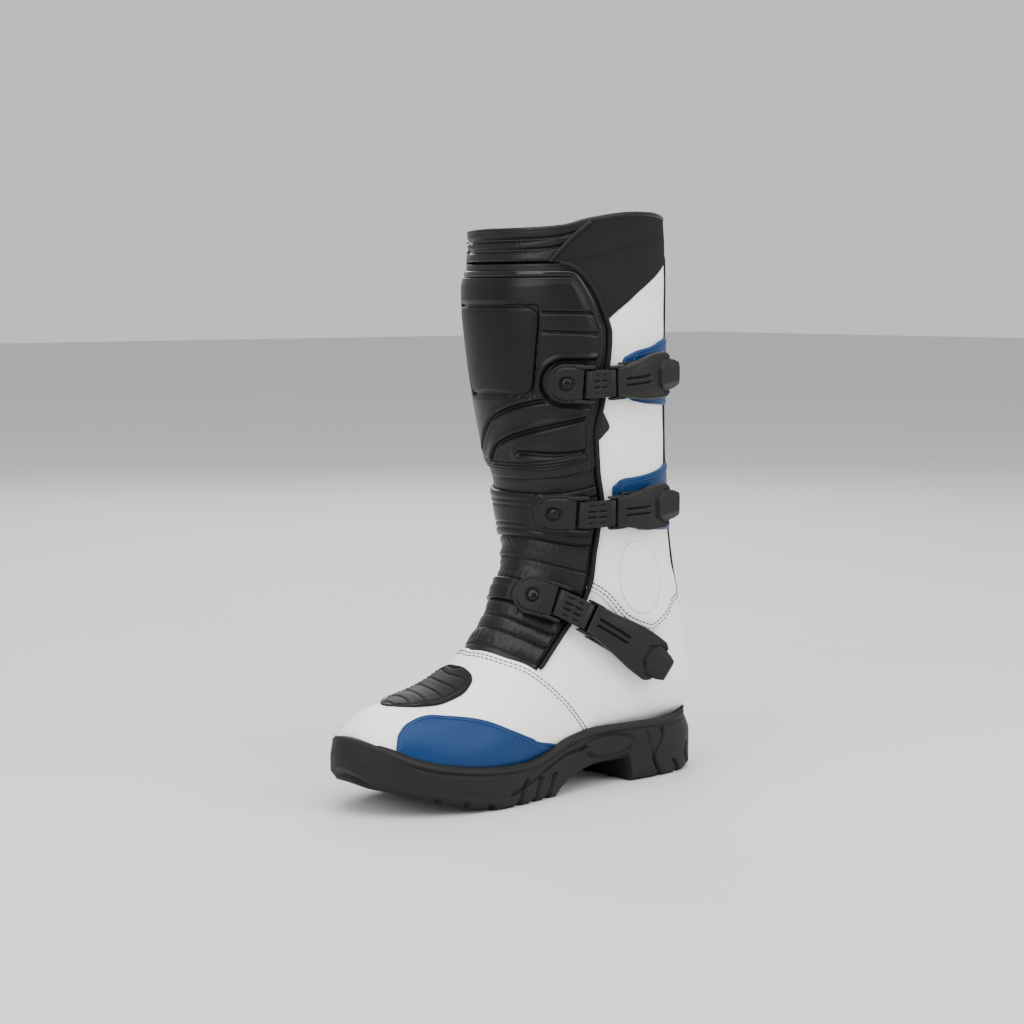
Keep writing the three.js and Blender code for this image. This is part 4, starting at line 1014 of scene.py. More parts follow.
# embossed sweeps below the insert, as (t, phi) knots, width and depth, and side grooves as t and phi from, to
SWEEPS = (
    (((0.74, -26), (0.764, -11), (0.776, -2), (0.787, 12), (0.798, 33), (0.8, 40)), 1.3, 2.4),
    (((0.722, -12), (0.738, -5), (0.75, 6), (0.76, 20), (0.772, 38), (0.787, 60)), 1.3, 2.4),
    (((0.733, 14), (0.739, 38), (0.753, 60)), 1.7, 2.2),
)
SIDE_GROOVES = ((0.885, 38.5, 69), (0.866, 38.5, 72))


def shin_plate():
    """The shin guard: a smooth top band, a framed insert, side grooves, a buckle recess and lower ribs."""
    front, back = flap_span(FLAP_EDGE + 4.5)
    patch = Patch(plate_low, fixed(PLATE_HIGH), front, back, step=0.68, edge=0.9)
    lift = 1.0 * smooth(patch.from_edge, 1.5, 7) + ripple(patch.points, 45, 31) * 0.1
    for knots, width, depth in SWEEPS:
        away = patch.away(smooth_path(*knots))
        lift += groove(away, width, depth) + 0.8 * np.exp(-(((away - 2.4 * width) / (1.6 * width)) ** 2))
    for level, start, end in SIDE_GROOVES:
        for low_phi, high_phi in ((start, end), (-end, -start)):
            away = patch.away(path_round(fixed(level), low_phi, high_phi))
            lift += groove(away, 0.95, 2.2)
    for low_line in (1.8, 4.2, 6.6):
        lift += groove(patch.from_low - low_line, 0.6, 1.5)
    track = Track(BUCKLE_PATHS["top"])
    near = track.lengths < 30
    away = patch.away((track.t[near], track.phi[near]))
    lift += 0.9 * np.exp(-(((away - 18.2) / 1.5) ** 2)) - (lift + 1.8) * (1 - smooth(away, 15.2, 17.2))
    frame_away = patch.away(insert_outline(1.2))
    level = (patch.t > INSERT_LOW - 0.002) & (patch.t < INSERT_HIGH + 0.002)
    inside = (np.abs(patch.phi) < insert_edge(patch.t) + 0.5) & level
    lift = np.where(inside, -1.2, lift + groove(frame_away, 1.4, 0.8))
    patch.build("shin_guard", 3.6, 3.4, PLATE, lift, edge=1.6, replaces=["shin_plate"])
    top = path_round(fixed(0.9302), 0, 54, 60)
    side = path_up(lambda t: flap_edge(t) - FLAP_EDGE - 3.2, 0.872, 0.9285, 40)
    t, phi = np.r_[top[0], side[0][::-1]], np.r_[top[1], side[1][::-1]]
    whole = np.r_[t[::-1], t], np.r_[-phi[::-1], phi]
    piping("plate_top_piping", [whole], 2.3, 1.3, 1.7, GLOSS)


def insert_outline(grow=0.0):
    """The insert's rounded outline as a closed path, grown outward in millimetres."""
    corner = 0.012
    low, high = INSERT_LOW - grow * T_PER_MM, INSERT_HIGH + grow * T_PER_MM
    right = lambda t: insert_edge(t) + grow * 0.9
    t = np.linspace(low + corner, high - corner, 20)
    side = list(zip(t, right(t)))
    top = [(high - corner * 0.25, right(high) - 2), (high, right(high) - 7), (high, 10), (high, 0)]
    bottom = [(low, 0), (low, 10), (low, right(low) - 7), (low + corner * 0.25, right(low) - 2)]
    half = bottom + side + top
    whole = half + [(a, -b) for a, b in half[::-1]]
    t, phi = np.array(whole).T
    return np.r_[t, t[:1]], np.r_[phi, phi[:1]]


def shin_insert():
    """The panel set into the shin guard, with rounded corners."""
    corner = lambda past: np.clip(past / 0.011, 0, 1) ** 3
    corners = lambda t: corner(INSERT_LOW + 0.011 - t) + corner(t - INSERT_HIGH + 0.011)
    edge = lambda t: insert_edge(t) - 7.5 * corners(t)
    low, high = fixed(INSERT_LOW + 0.001), fixed(INSERT_HIGH - 0.001)
    patch = Patch(low, high, mirror(edge, -1), edge, step=1.3, edge=0.8)
    lift = 0.5 * smooth(patch.from_edge, 0.8, 3.5) + ripple(patch.points, 40, 32) * 0.08
    patch.build("shin_insert_moulding", 4.5, 3.0, INSERT, lift, edge=1.3,
                replaces=["shin_insert"])


def flap_bindings():
    for side, sign in OUTER_INNER:
        t, phi = path_up(mirror(flap_edge, sign), 0.4, 0.9445, 200)
        piping(f"flap_binding_tape_{side}", [(t, phi)], 1.7, 1.9, 1.9, BINDING,
               replaces=[f"flap_binding_{side}"])
    tab = Patch(fixed(0.768), fixed(0.8), lambda t: flap_edge(t) - 1,
                curve((0.768, 69.5), (0.776, 73.5), (0.784, 77), (0.793, 74.5), (0.8, 72)),
                  step=0.8, edge=0.6)
    lift = groove(tab.from_back - 2.2, 0.7, 0.35)
    tab.build("flap_tab", 2.6, 2.4, BLACK, lift, edge=1.2)


SHIFT_PAD_RIBS = 6.5


def shift_pad():
    """The ribbed pad over the toes."""
    edge = curve((0.152, 4), (0.166, 15), (0.191, 23.5), (0.228, 29), (0.258, 29), (0.291, 25.6), (0.304, 20),
                 (0.309, 9))
    outline = (fixed(0.152), fixed(0.309), mirror(edge, -1), edge)
    coarse = Patch(*outline, step=2.8, edge=1.2)
    fine = Patch(*outline, step=1.0, edge=0.8)
    move = swell("shift_pad", [coarse], 1.6, 1.1)[0]
    share = fine.from_low / fine.from_low[-1:] + 0.0022 * fine.phi
    channel = np.abs((share * SHIFT_PAD_RIBS) % 1 - 0.5) * fine.height / SHIFT_PAD_RIBS
    detail = groove(channel, 0.9, 0.9) * smooth(fine.from_edge, 3.4, 5.0)
    detail += groove(fine.from_edge - 3.6, 0.8, 0.9) + groove(fine.from_edge - 1.7, 0.6, 0.3)
    pad("shift_pad_quilt", fine, coarse, move, 2.2, 1.8, PAD, "black_leather", detail, ["shift_pad"], 1.2)
    rows = []
    for sign in (1, -1):
        t, phi = path_up(mirror(edge, sign), 0.156, 0.306, 120)
        t, phi = beside(t, phi, -sign * 1.8)
        rows.append((t, phi, 2.3))
    stitches("shift_pad_stitching", rows, THREAD_BLACK, radius=0.3)


# ---------------------------------------------------------------- sole
# the sole's outline from the toe's tip to the heel's: x and y on the outer side, then on the inner side
SOLE_OUTER_EDGE = ((-144, 6), (-143.2, -2), (-141, -10.5), (-137, -19), (-131.3, -27.5), (-124, -35.5),
                   (-114, -43.5), (-100, -50.5), (-82, -55.5), (-60, -57.5), (-35, -55.5), (-10, -51),
                   (15, -47), (45, -44.5), (75, -44), (105, -43.5), (130, -38.5), (146, -28),
                   (154, -14.5), (157, 0))
SOLE_INNER_EDGE = ((-144, 6), (-143.3, 13), (-141, 21), (-137, 28), (-131.3, 34), (-124, 39),
                   (-114, 44), (-100, 48.5), (-82, 51.5), (-60, 52), (-35, 48), (-10, 43.5),
                   (15, 41.5), (45, 41.5), (75, 43), (105, 43.5), (130, 38.5), (146, 28),
                   (154, 14.5), (157, 0))
ARCH_START, ARCH_END = 1.5, 75.5
# heights along the sole: its rim, its underside, the lasted upper inside it, and its arch
sole_top = curve((-144, 51), (-138, 48.5), (-130, 45), (-118, 39), (-100, 34), (-60, 29), (-30, 28),
                 (-5, 32.5), (15, 38.5), (45, 42), (100, 41.5), (130, 42.5), (150, 43.6), (157, 43.8))
sole_bottom = curve((-144, 27), (-138, 21.5), (-130, 17), (-110, 11), (-88, 6), (-68, 2), (-52, 0), (157, 0))
skin_bottom = curve((-144, 50), (-137, 44), (-134, 31), (-124, 24), (-109, 20), (-86, 17), (-58, 16),
                    (-24, 17), (14, 23), (52, 28), (98, 30), (140, 33), (150, 40), (157, 46))
arch_height = curve((ARCH_START, 0), (4.5, 3), (16, 10), (30, 15), (46, 17.5), (71, 17.5), (ARCH_END, 0))
LUG_GROOVES = (-104, -84, -64, -44, -25, -9)
TALL_GROOVES = (-40, -24, -10)
HEEL_GROOVES = (101, 121, 138)
SOLE_COLUMNS = 420
SOLE_END = 22  # how far the sole's middle line stops short of its two ends


def smooth_plan(knots):
    """A smooth outline through (x, y) knots, at even distances, crowded toward its two ends."""
    x, y = smooth_path(*knots)
    lengths = np.r_[0, np.hypot(np.diff(x), np.diff(y)).cumsum()]
    share = np.linspace(0, 1, SOLE_COLUMNS)
    share = share - 0.225 * np.sin(share * 2 * math.pi) / (2 * math.pi)
    return np.interp(share * lengths[-1], lengths, x), np.interp(share * lengths[-1], lengths, y)


def groove_mask(x, centres, width):
    away = np.min([np.abs(x - c) for c in centres], axis=0)
    return 1 - smooth(away, width * 0.5 - 0.6, width * 0.5 + 0.6)


SOLE_HEIGHTS = np.r_[np.linspace(0, 0.12, 5), np.linspace(0.14, 0.86, 46), np.linspace(0.88, 1, 10)]
SOLE_UNDER = (0.0, 0.1, 0.2, 0.3, 0.4, 0.5, 0.6, 0.7, 0.8, 0.88, 0.94)
# rows of the trough that the upper sits in: distance inside the outline and share of the trough's depth
SOLE_TROUGH = ((3.4, -0.1), (5, 0.0), (8, 0.04), (11, 0.25), (14, 0.8))


def outsole():
    """The sole, in two halves of rows from under its middle, up its wall and down into its trough."""
    edges = [smooth_plan(SOLE_OUTER_EDGE), smooth_plan(SOLE_INNER_EDGE)]
    middle_x, middle_y = np.mean([edge[0] for edge in edges], 0), np.mean([edge[1] for edge in edges], 0)
    middle_x = np.clip(middle_x, middle_x[0] + SOLE_END, middle_x[-1] - SOLE_END)
    half = []
    for side, (x, y) in zip((-1, 1), edges):
        dx, dy = np.gradient(x), np.gradient(y)
        out_x, out_y = -dy * side, dx * side
        size = np.hypot(out_x, out_y)
        out_x, out_y = out_x / size, out_y / size
        out_x[[0, -1]], out_y[[0, -1]] = (-1, 1), 0
        y[0], y[-1] = edges[0][1][0], edges[0][1][-1]
        arch = np.where((x > ARCH_START) & (x < ARCH_END), arch_height(x), 0)
        bottom = np.maximum(sole_bottom(x), arch)
        top = sole_top(x)

        def row(inset, share, z):
            from_x, from_y = x - out_x * inset - middle_x, y - out_y * inset - middle_y
            return np.stack([middle_x + from_x * share, middle_y + from_y * share, z], -1)

        rows = [row(3.2, share, bottom + tread(x, share)) for share in SOLE_UNDER]
        for share in SOLE_HEIGHTS:
            z = bottom + (top - bottom) * share
            rows.append(row(wall(x, z, top, bottom), 1.0, z))
        low = np.minimum(skin_bottom(x), top - 1)
        for inset, drop in SOLE_TROUGH:
            rows.append(row(inset, 1.0, top + (low - top) * drop))
        for share in (0.8, 0.5, 0.0):
            rows.append(row(SOLE_TROUGH[-1][0], share, low))
        half.append(np.array(rows))
    outer, inner = half
    rings = np.swapaxes(np.concatenate([outer, inner[-2:0:-1]]), 0, 1)
    faces = [face[::-1] for face in grid_faces(SOLE_COLUMNS, rings.shape[1], wrap=True)]
    made = piece("sole_moulding", rings.reshape(-1, 3), faces, RUBBER, "root", ["outsole"])
    face_out(made, weld=True)


def tread(x, share):
    """Height of the tread's grooves under the sole, above its lugs."""
    forefoot = (x > -120) & (x < 1)
    cross = groove_mask(x + share * 10, LUG_GROOVES, 4.5) * forefoot * (share > 0.12)
    cross += groove_mask(x - share * 6, HEEL_GROOVES, 5) * (x > 76) * (share > 0.2)
    spine = (share < 0.08) * smooth(x, -112, -108) * (1 - smooth(x, -6, -2))
    return 5.5 * np.clip(cross + spine, 0, 1)


def crease(distance, width=0.8):
    return np.exp(-((distance / width) ** 2))


def wall(x, z, top, bottom):
    """How far the sole's wall lies inside its outline at a height."""
    up, down = z - bottom, top - z
    inset = 3.4 * (1 - smooth(up, -0.5, 5.0)) + 1.5 * np.clip(1 - down / 1.6, 0, 1) ** 2
    inset += 4.5 * smooth(x, 112, 150) * (1 - smooth(down, 0, 17))
    inset += 2.0 * (1 - smooth(x, -140, -128)) * (1 - smooth(down, 0, 14))
    lip = smooth(x, -128, -118)
    inset += lip * (0.9 * crease(down - 4.4) - 0.5 * crease(down - 2.2, 1.2))
    shallow = smooth(x, -112, -106) * (1 - smooth(x, -52, -46)) * (1 - smooth(up, 2.0, 4.5))
    inset += 3.0 * groove_mask(x, LUG_GROOVES[:3], 4.2) * shallow
    lean = x - (z - bottom) * 0.45
    tall = smooth(x, -50, -44) * (1 - smooth(x, 6, 10)) * (1 - smooth(up, 15, 19))
    inset += 3.4 * groove_mask(lean, TALL_GROOVES, 4.4) * tall
    wave = x + 4.0 * np.sin((z - 6) * 0.19)
    inset += 2.6 * groove_mask(wave, HEEL_GROOVES[:1], 2.6) * (x > 86) * smooth(down, 5, 7)
    inset += 3.0 * groove_mask(wave, HEEL_GROOVES[1:2], 4.2) * (x > 90) * (1 - smooth(up, 9, 12))
    inset += 3.0 * groove_mask(wave, HEEL_GROOVES[2:], 3.6) * (x > 120) * (1 - smooth(up, 18, 22))
    rising = 8 + 22 * smooth(x, -58, 26)
    inset += 2.4 * crease(z - rising, 1.2) * smooth(x, -52, -44) * (1 - smooth(x, 30, 34))
    loop = np.hypot((x - 52) / 24, (z - 29) / 7.5)
    inset += 1.3 * crease((loop - 1) * 8, 1.0) * (x > 12) * (x < 90)
    inset -= 0.9 * (1 - smooth(loop, 0.8, 0.98)) * (x > 12) * (x < 90)
    block = np.abs(x - 94 + (z - 20) * 0.35)
    inset += 1.2 * crease(block, 1.2) * smooth(down, 4, 8)
    rand = np.sin(x * 1.7 + z * 1.1) * np.sin(z * 1.9 - x * 0.6) * 0.22
    grained = smooth(down, 5.0, 6.5) * (1 - smooth(down, 14, 17))
    grained = grained * smooth(x, -106, -98) * (1 - smooth(x, -42, -36))
    return inset + rand * grained - 0.4 * grained


# ---------------------------------------------------------------- buckles
BUCKLE_PATHS = {
    "top": ((0.819, 50), (0.821, 65), (0.827, 85), (0.834, 105), (0.837, 120)),
    "mid": ((0.662, 36), (0.682, 60), (0.704, 82), (0.722, 102), (0.732, 118)),
    "low": ((0.498, 27), (0.512, 44), (0.522, 62), (0.53, 79), (0.534, 97)),
}
STRAP_LENGTHS = {"top": 16, "mid": 20, "low": 21}
HINGES = {"top": 13.5, "mid": 17, "low": 17}
BRIDGE_HALF, STRAP_HALF, LEVER_HALF = 13.5, 9.5, 16
LEVER_NECK = 10.6  # half width of the lever at its pin
BRIDGE_BOTTOM, BRIDGE_TOP = 6.0, 9.4
STRAP_BOTTOM, STRAP_TOP = 7.6, 10.0
LEVER_BOTTOM, LEVER_TOP = 7.8, 13.4
PIN_LIFT = 8.8
NOSE_END = 0.1  # a path's frames stop this far inside its start, and go on straight
STRAIGHT_END = 14  # the lever's end leaves the skin on a straight line
SPOON_START = {"top": 2.1, "mid": 2.1, "low": 3.0}  # from the lever's pin to its plate
TURNED_SIDES = 28


class Track:
    """A buckle's path over the skin, with a frame at any length along it: ahead, out and across."""

    def __init__(self, knots):
        knots = np.array(knots, float) * [100, 1]
        knots = np.vstack([2 * knots[0] - knots[1], knots, 2 * knots[-1] - knots[-2]])
        samples = np.linspace(0, len(knots) - 3, 121)
        made = np.array([self._centripetal(knots, min(int(s), len(knots) - 4), s) for s in samples])
        self.t, self.phi = made[:, 0] / 100, made[:, 1]
        points = surface(self.t, self.phi)
        self.lengths = np.r_[0, np.linalg.norm(np.diff(points, axis=0), axis=-1).cumsum()]
        self.length = self.lengths[-1]

    @staticmethod
    def _centripetal(knots, i, s):
        p = knots[i:i + 4]
        f = s - i
        d = [max(((p[k + 1] - p[k]) @ (p[k + 1] - p[k])) ** 0.25, 1e-4) for k in range(3)]
        m1 = ((p[1] - p[0]) / d[0] - (p[2] - p[0]) / (d[0] + d[1]) + (p[2] - p[1]) / d[1]) * d[1]
        m2 = ((p[2] - p[1]) / d[1] - (p[3] - p[1]) / (d[1] + d[2]) + (p[3] - p[2]) / d[2]) * d[1]
        bend = -3 * p[1] + 3 * p[2] - 2 * m1 - m2
        return p[1] + m1 * f + bend * f**2 + (2 * p[1] - 2 * p[2] + m1 + m2) * f**3

    def _at(self, s):
        return np.interp(s, self.lengths, self.t), np.interp(s, self.lengths, self.phi)

    def frame(self, s):
        s = np.asarray(s, float)
        inside = np.clip(s, NOSE_END, self.length - STRAIGHT_END)
        t, phi = self._at(inside)
        out = normal(t, phi)
        ahead = surface(*self._at(inside + 0.5)) - surface(*self._at(np.maximum(inside - 0.5, 0)))
        ahead -= out * (ahead * out).sum(-1, keepdims=True)
        ahead /= np.linalg.norm(ahead, axis=-1, keepdims=True)
        return surface(t, phi) + ahead * (s - inside)[..., None], ahead, out, np.cross(out, ahead)

    def place(self, s, out, across):
        """Points at a length along the path, a distance out from the skin, and a distance across."""
        s, out, across = np.broadcast_arrays(*(np.asarray(v, float) for v in (s, out, across)))
        centre, _, n, w = self.frame(s)
        return centre + n * out[..., None] + w * across[..., None]

    def fixed_place(self, at, along, out, across):
        """Points in the one frame at a length along the path."""
        centre, ahead, n, w = self.frame(np.array(float(at)))
        along, out, across = np.broadcast_arrays(*(np.asarray(v, float) for v in (along, out, across)))
        return centre + ahead * along[..., None] + n * out[..., None] + w * across[..., None]


def slots_depth(s, w, slots, edge=0.35):
    """1 inside any of the rounded slots (start, end, middle, half width), 0 outside."""
    inside = np.zeros(s.shape)
    for start, end, middle, half in slots:
        ds = np.clip(np.abs(s - (start + end) / 2) - (end - start) / 2 + half, 0, None)
        away = np.hypot(ds, np.abs(w - middle)) - half
        inside = np.maximum(inside, 1 - smooth(away, -edge, edge))
    return inside


def moulded_bar(name, track, start, end, half_width, bottom, top, body, step=0.7, edge=1.0, slots=(),
                depth=1.4, shape=None, middle=0.0, replaces=()):
    """A bar along the track: rounded edges, slots sunk into its face, and shape(s, w) added to its height."""
    near_end = np.array([0.15, 0.4, 0.8])
    along = np.unique(np.r_[np.arange(start, end, step), end, start + near_end, end - near_end])
    share = np.linspace(-1, 1, max(int(2 * np.max(half_width(along)) / step), 7))
    share = np.unique(np.r_[share, -0.985, -0.95, 0.985, 0.95])
    s, v = np.meshgrid(along, share)
    half = np.maximum(half_width(s), 0.3)
    w = v * half
    near = np.minimum(np.minimum(half - np.abs(w), s - start), end - s)
    x = np.clip(near / edge, 0, 1)
    drop = edge * (1 - np.sqrt(np.clip(1 - (1 - x) ** 2, 0, 1)))
    high = top(s) - drop - depth * slots_depth(s, w, slots)
    if shape:
        high = high + shape(s, w)
    low = bottom(s) + np.minimum(drop * 0.4, 0.6)
    outer = track.place(s, np.maximum(high, low + 0.15), w + middle)
    inner = track.place(s, low, w + middle)
    points, faces = closed_sheet(outer, inner)
    piece(name, points, faces, BUCKLE, body, replaces)


def turned(name, track, at, axis, profile, material, body, lift=0.0, replaces=()):
    """A piece turned round the out or across axis at a length of the track: rows of (height, radius)."""
    angle = np.linspace(0, 2 * math.pi, TURNED_SIDES, endpoint=False)
    height, radius = np.array(profile, float).T[:, :, None]
    a, b = np.cos(angle) * radius, np.sin(angle) * radius
    if axis == "out":
        points = track.fixed_place(at, a, lift + height, b)
    else:
        points = track.fixed_place(at, a, lift + b, height)
    faces = tube_faces(len(profile), TURNED_SIDES)
    face_out(piece(name, points.reshape(-1, 3), faces, material, body, replaces))


def face_out(made, weld=False):
    """Turns a mesh's faces outward, after joining the points that coincide if it needs welding."""
    fix = bmesh.new()
    fix.from_mesh(made.data)
    if weld:
        bmesh.ops.remove_doubles(fix, verts=fix.verts, dist=0.01 * MM)
        bmesh.ops.dissolve_degenerate(fix, edges=fix.edges, dist=0.001 * MM)
    bmesh.ops.recalc_face_normals(fix, faces=fix.faces)
    fix.to_mesh(made.data)
    fix.free()


def d_shape(start, radius, full):
    """Half width of a bar with a round nose."""
    def half(s):
        d = np.clip(radius - (s - start), 0, radius)
        return np.minimum(full, full * np.sqrt(np.clip(1 - (d / radius) ** 2, 0, 1)) + 0.2)
    return half


def pin_profile(reach):
    """A pin with a head at each end, reach from its middle to its end."""
    half = ((reach, 0.3), (reach, 1.3), (reach - 0.3, 1.6), (reach - 0.9, 1.6), (reach - 0.9, 1.1))
    return [(-height, radius) for height, radius in half] + list(half[::-1])


def buckle(name):
    track = Track(BUCKLE_PATHS[name])
    hinge = HINGES[name]
    pivot = hinge + STRAP_LENGTHS[name]
    bridge_parts(name, track, hinge)
    strap_parts(name, track, hinge, pivot)
    lever_parts(name, track, pivot)


def bridge_parts(name, track, hinge):
    """The bridge: a plate with a round nose and a rivet's seat, two cheeks, the rivet and the hinge pin."""
    bridge = f"bridge_{name}"
    nose = d_shape(-BRIDGE_HALF, BRIDGE_HALF, BRIDGE_HALF)
    raised = d_shape(-BRIDGE_HALF + 2.6, BRIDGE_HALF - 2.6, BRIDGE_HALF - 2.6)

    def plate(s, w):
        inner = smooth(raised(s) - np.abs(w), -0.4, 0.7) * smooth(s, -BRIDGE_HALF + 2.0, -BRIDGE_HALF + 3.4)
        seat = 1 - smooth(np.hypot(s, w), 4.9, 5.7)
        rim_line = crease(raised(s) - np.abs(w) + 0.7, 0.5) * (s > -9)
        return 1.25 * inner - 1.1 * seat - 0.5 * rim_line

    moulded_bar(f"bridge_{name}_base", track, -BRIDGE_HALF + 0.2, hinge - 3.2, nose, fixed(BRIDGE_BOTTOM),
                fixed(BRIDGE_TOP - 0.9), bridge, shape=plate, edge=1.1, step=0.5, replaces=[f"bridge_{name}"])
    cheek = lambda s: 1.3 * np.sqrt(np.clip(1 - ((s - hinge + 2.4) / 6.8) ** 6, 0.02, 1))
    arch = lambda s: BRIDGE_TOP + 1.5 - 1.8 * ((s - hinge + 1) / 8) ** 2
    for label, side in (("a", -1), ("b", 1)):
        moulded_bar(f"bridge_{name}_cheek_{label}", track, hinge - 9, hinge + 4.2, cheek,
                    fixed(BRIDGE_BOTTOM), arch, bridge, middle=side * (BRIDGE_HALF - 1.6), edge=0.9, step=0.5)
    dome = ((BRIDGE_BOTTOM - 0.4, 2.4), (BRIDGE_TOP - 0.9, 2.4), (BRIDGE_TOP - 0.9, 4.0),
            (BRIDGE_TOP - 0.3, 4.2), (BRIDGE_TOP + 0.6, 3.8), (BRIDGE_TOP + 1.2, 2.8),
            (BRIDGE_TOP + 1.6, 1.4), (BRIDGE_TOP + 1.7, 0.2))
    turned(f"bridge_rivet_{name}_head", track, 0, "out", dome, RIVET, "root",
           replaces=[f"bridge_rivet_{name}"])
    turned(f"hinge_pin_{name}_turned", track, hinge, "across", pin_profile(13.7), RIVET, bridge,
           PIN_LIFT, [f"hinge_pin_{name}"])


def strap_parts(name, track, hinge, pivot):
    """The ladder strap: a slotted bar with a round eye at each end, and the lever's pin in the rear one."""
    strap = f"strap_{name}"
    slots = []
    reach = pivot - hinge
    for start, end in ((3.4, 0.44 * reach), (0.44 * reach + 1.6, reach - 4.4)):
        for middle in (-2.1, 2.1):
            slots.append((hinge + start, hinge + end, middle, 0.62))
        for middle in (-6.3, 6.3):
            slots.append((hinge + start + 0.8, hinge + end - 0.8, middle, 0.36))
    ends = lambda s, w: 1.0 - smooth(s - hinge, 1.6, 5.0) + 0.5 * (1 - smooth(pivot - s, 1.6, 5.0))
    moulded_bar(f"ladder_strap_{name}_bar", track, hinge - 1.6, pivot + 1.6, fixed(STRAP_HALF),
                fixed(STRAP_BOTTOM), fixed(STRAP_TOP), strap, slots=slots, step=0.42, edge=0.8, depth=1.6,
                shape=ends, replaces=[f"ladder_strap_{name}"])
    eye = ((-STRAP_HALF + 0.1, 1.5), (-STRAP_HALF + 0.1, 2.0), (-STRAP_HALF + 0.4, 2.4),
           (STRAP_HALF - 0.4, 2.4), (STRAP_HALF - 0.1, 2.0), (STRAP_HALF - 0.1, 1.5))
    for label, at in (("front", hinge), ("rear", pivot)):
        turned(f"ladder_strap_{name}_eye_{label}", track, at, "across", eye, BUCKLE, strap,
               PIN_LIFT)
    turned(f"lever_pin_{name}_turned", track, pivot, "across", pin_profile(11.9), RIVET, strap,
           PIN_LIFT, [f"lever_pin_{name}"])


def lever_parts(name, track, pivot):
    """The lever: a crowned plate with two slots, a web and two ears at its pin, its cap, and its catch."""
    lever = f"lever_{name}"
    tip = track.length

    def half_width(s):
        f = np.clip((s - pivot - 2) / (tip - pivot - 20), 0, 1)
        full = LEVER_NECK + (LEVER_HALF - LEVER_NECK) * f * f * (3 - 2 * f)
        return full * (1 - 0.42 * smooth(s, tip - 10, tip + 1))

    def outside(s):
        return LEVER_TOP - 1.2 * (1 - smooth(s, pivot + 2, pivot + 14)) + 0.8 * smooth(s, tip - 24, tip - 8)

    inside = lambda s: 10.9 + (LEVER_BOTTOM - 10.9) * smooth(s, pivot + 5, pivot + 12)
    long_slots = [(pivot + 8, pivot + 8 + 0.42 * (tip - pivot - 8), middle, 0.7) for middle in (-2.2, 2.2)]

    def spoon(s, w):
        half = half_width(s)
        crown = -2.2 * (np.abs(w) / half) ** 2.4 * smooth(s, pivot + 6, pivot + 18)
        cap_gap = crease(cap_distance(s - tip, w) - 0.9, 0.7)
        return crown + 0.4 * crease(half - np.abs(w) - 1.2, 0.8) - 1.6 * cap_gap

    moulded_bar(f"lever_{name}_spoon", track, pivot + SPOON_START[name], tip + 0.5, half_width, inside,
                outside, lever, slots=long_slots, depth=2.4, shape=spoon, edge=1.7, step=0.6,
                replaces=[f"lever_{name}"])
    moulded_bar(f"lever_{name}_web", track, pivot - 0.6, pivot + 7, fixed(LEVER_NECK - 0.2), fixed(5.6),
                fixed(6.3), lever, edge=0.3, step=0.8)

    def ear_top(s):
        return 11.2 + 0.6 * smooth(s, pivot, pivot + 8) - 1.4 * np.clip((pivot - s) / 3.4, 0, 1) ** 2

    ear = lambda s: 0.85 * np.sqrt(np.clip(1 - ((s - pivot - 3) / 6.2) ** 6, 0.03, 1))
    for label, side in (("a", -1), ("b", 1)):
        moulded_bar(f"lever_{name}_ear_{label}", track, pivot - 2.8, pivot + 9, ear, fixed(6.4), ear_top,
                    lever, middle=side * (STRAP_HALF + 1.4), edge=0.7, step=0.5)
    lever_cap(name, track, tip, lever)
    catch(name, track, pivot, tip)


CAP_FRONT, CAP_END = -19.0, 7.5
CAP_HALF = 10.8


def cap_half(s):
    """Half width of the lever's cap: a long hexagon with cut corners."""
    corners = ((CAP_FRONT, CAP_HALF - 5.4), (CAP_FRONT + 6.5, CAP_HALF), (-1, CAP_HALF - 0.6), (CAP_END, 6.4))
    return np.interp(s, *zip(*corners))


def cap_distance(s, w):
    """Roughly how far a point of the lever lies outside the cap's outline."""
    return np.maximum(np.abs(w) - cap_half(s), CAP_FRONT - s)


def lever_cap(name, track, tip, body):
    """The faceted end that a thumb lifts: a sloping top, two sides and a steep end that meet in ridges."""
    def facets(s, w):
        along = s - tip
        top = 2.2 + 0.06 * along
        side = 4.6 - 0.52 * np.abs(w) + 0.02 * along
        end = 2.6 - 0.95 * (along - 1.5)
        front = 1.0 + 0.55 * (along - CAP_FRONT)
        return np.minimum.reduce([top + 0 * w, side, end + 0 * w, front + 0.05 * w])

    half = lambda s: cap_half(s - tip)
    moulded_bar(f"lever_cap_{name}_facets", track, tip + CAP_FRONT, tip + CAP_END, half, fixed(8.4),
                fixed(LEVER_TOP + 0.4), body, shape=facets, edge=0.9, step=0.5,
                replaces=[f"lever_cap_{name}"])


def catch(name, track, pivot, tip):
    """The plate on the shaft that the lever snaps onto: a rim round it and teeth across its middle."""
    teeth = lambda s, w: (0.5 * np.sin((s - pivot) * 2 * math.pi / 3.2) * (np.abs(w) < 7)
                          * smooth(s, pivot + 12, pivot + 14) + 0.7 * smooth(np.abs(w), 9.5, 10.6))
    moulded_bar(f"catch_{name}_plate", track, pivot + 8, tip - 5, fixed(12.5), fixed(2.0), fixed(4.4), "root",
                shape=teeth, edge=0.9, replaces=[f"catch_{name}"])



# ---------------------------------------------------------------- the whole boot
vamp()
for side, sign in OUTER_INNER:
    quarter(side, sign)
    shaft_panel(side, sign)
    toe_patch(side, sign)
for name, (low, high, edge) in STRAP_PATCHES.items():
    strap_patch(name, low, high, edge)
calf_panel()
collar()
liner()
back_stay()
hidden_layers()
bellows()
for index, name in BAND_ROWS.items():
    strap_band(index, name)
flap_border()
shin_plate()
shin_insert()
flap_bindings()
shift_pad()
outsole()
for name in BUCKLE_PATHS:
    buckle(name)
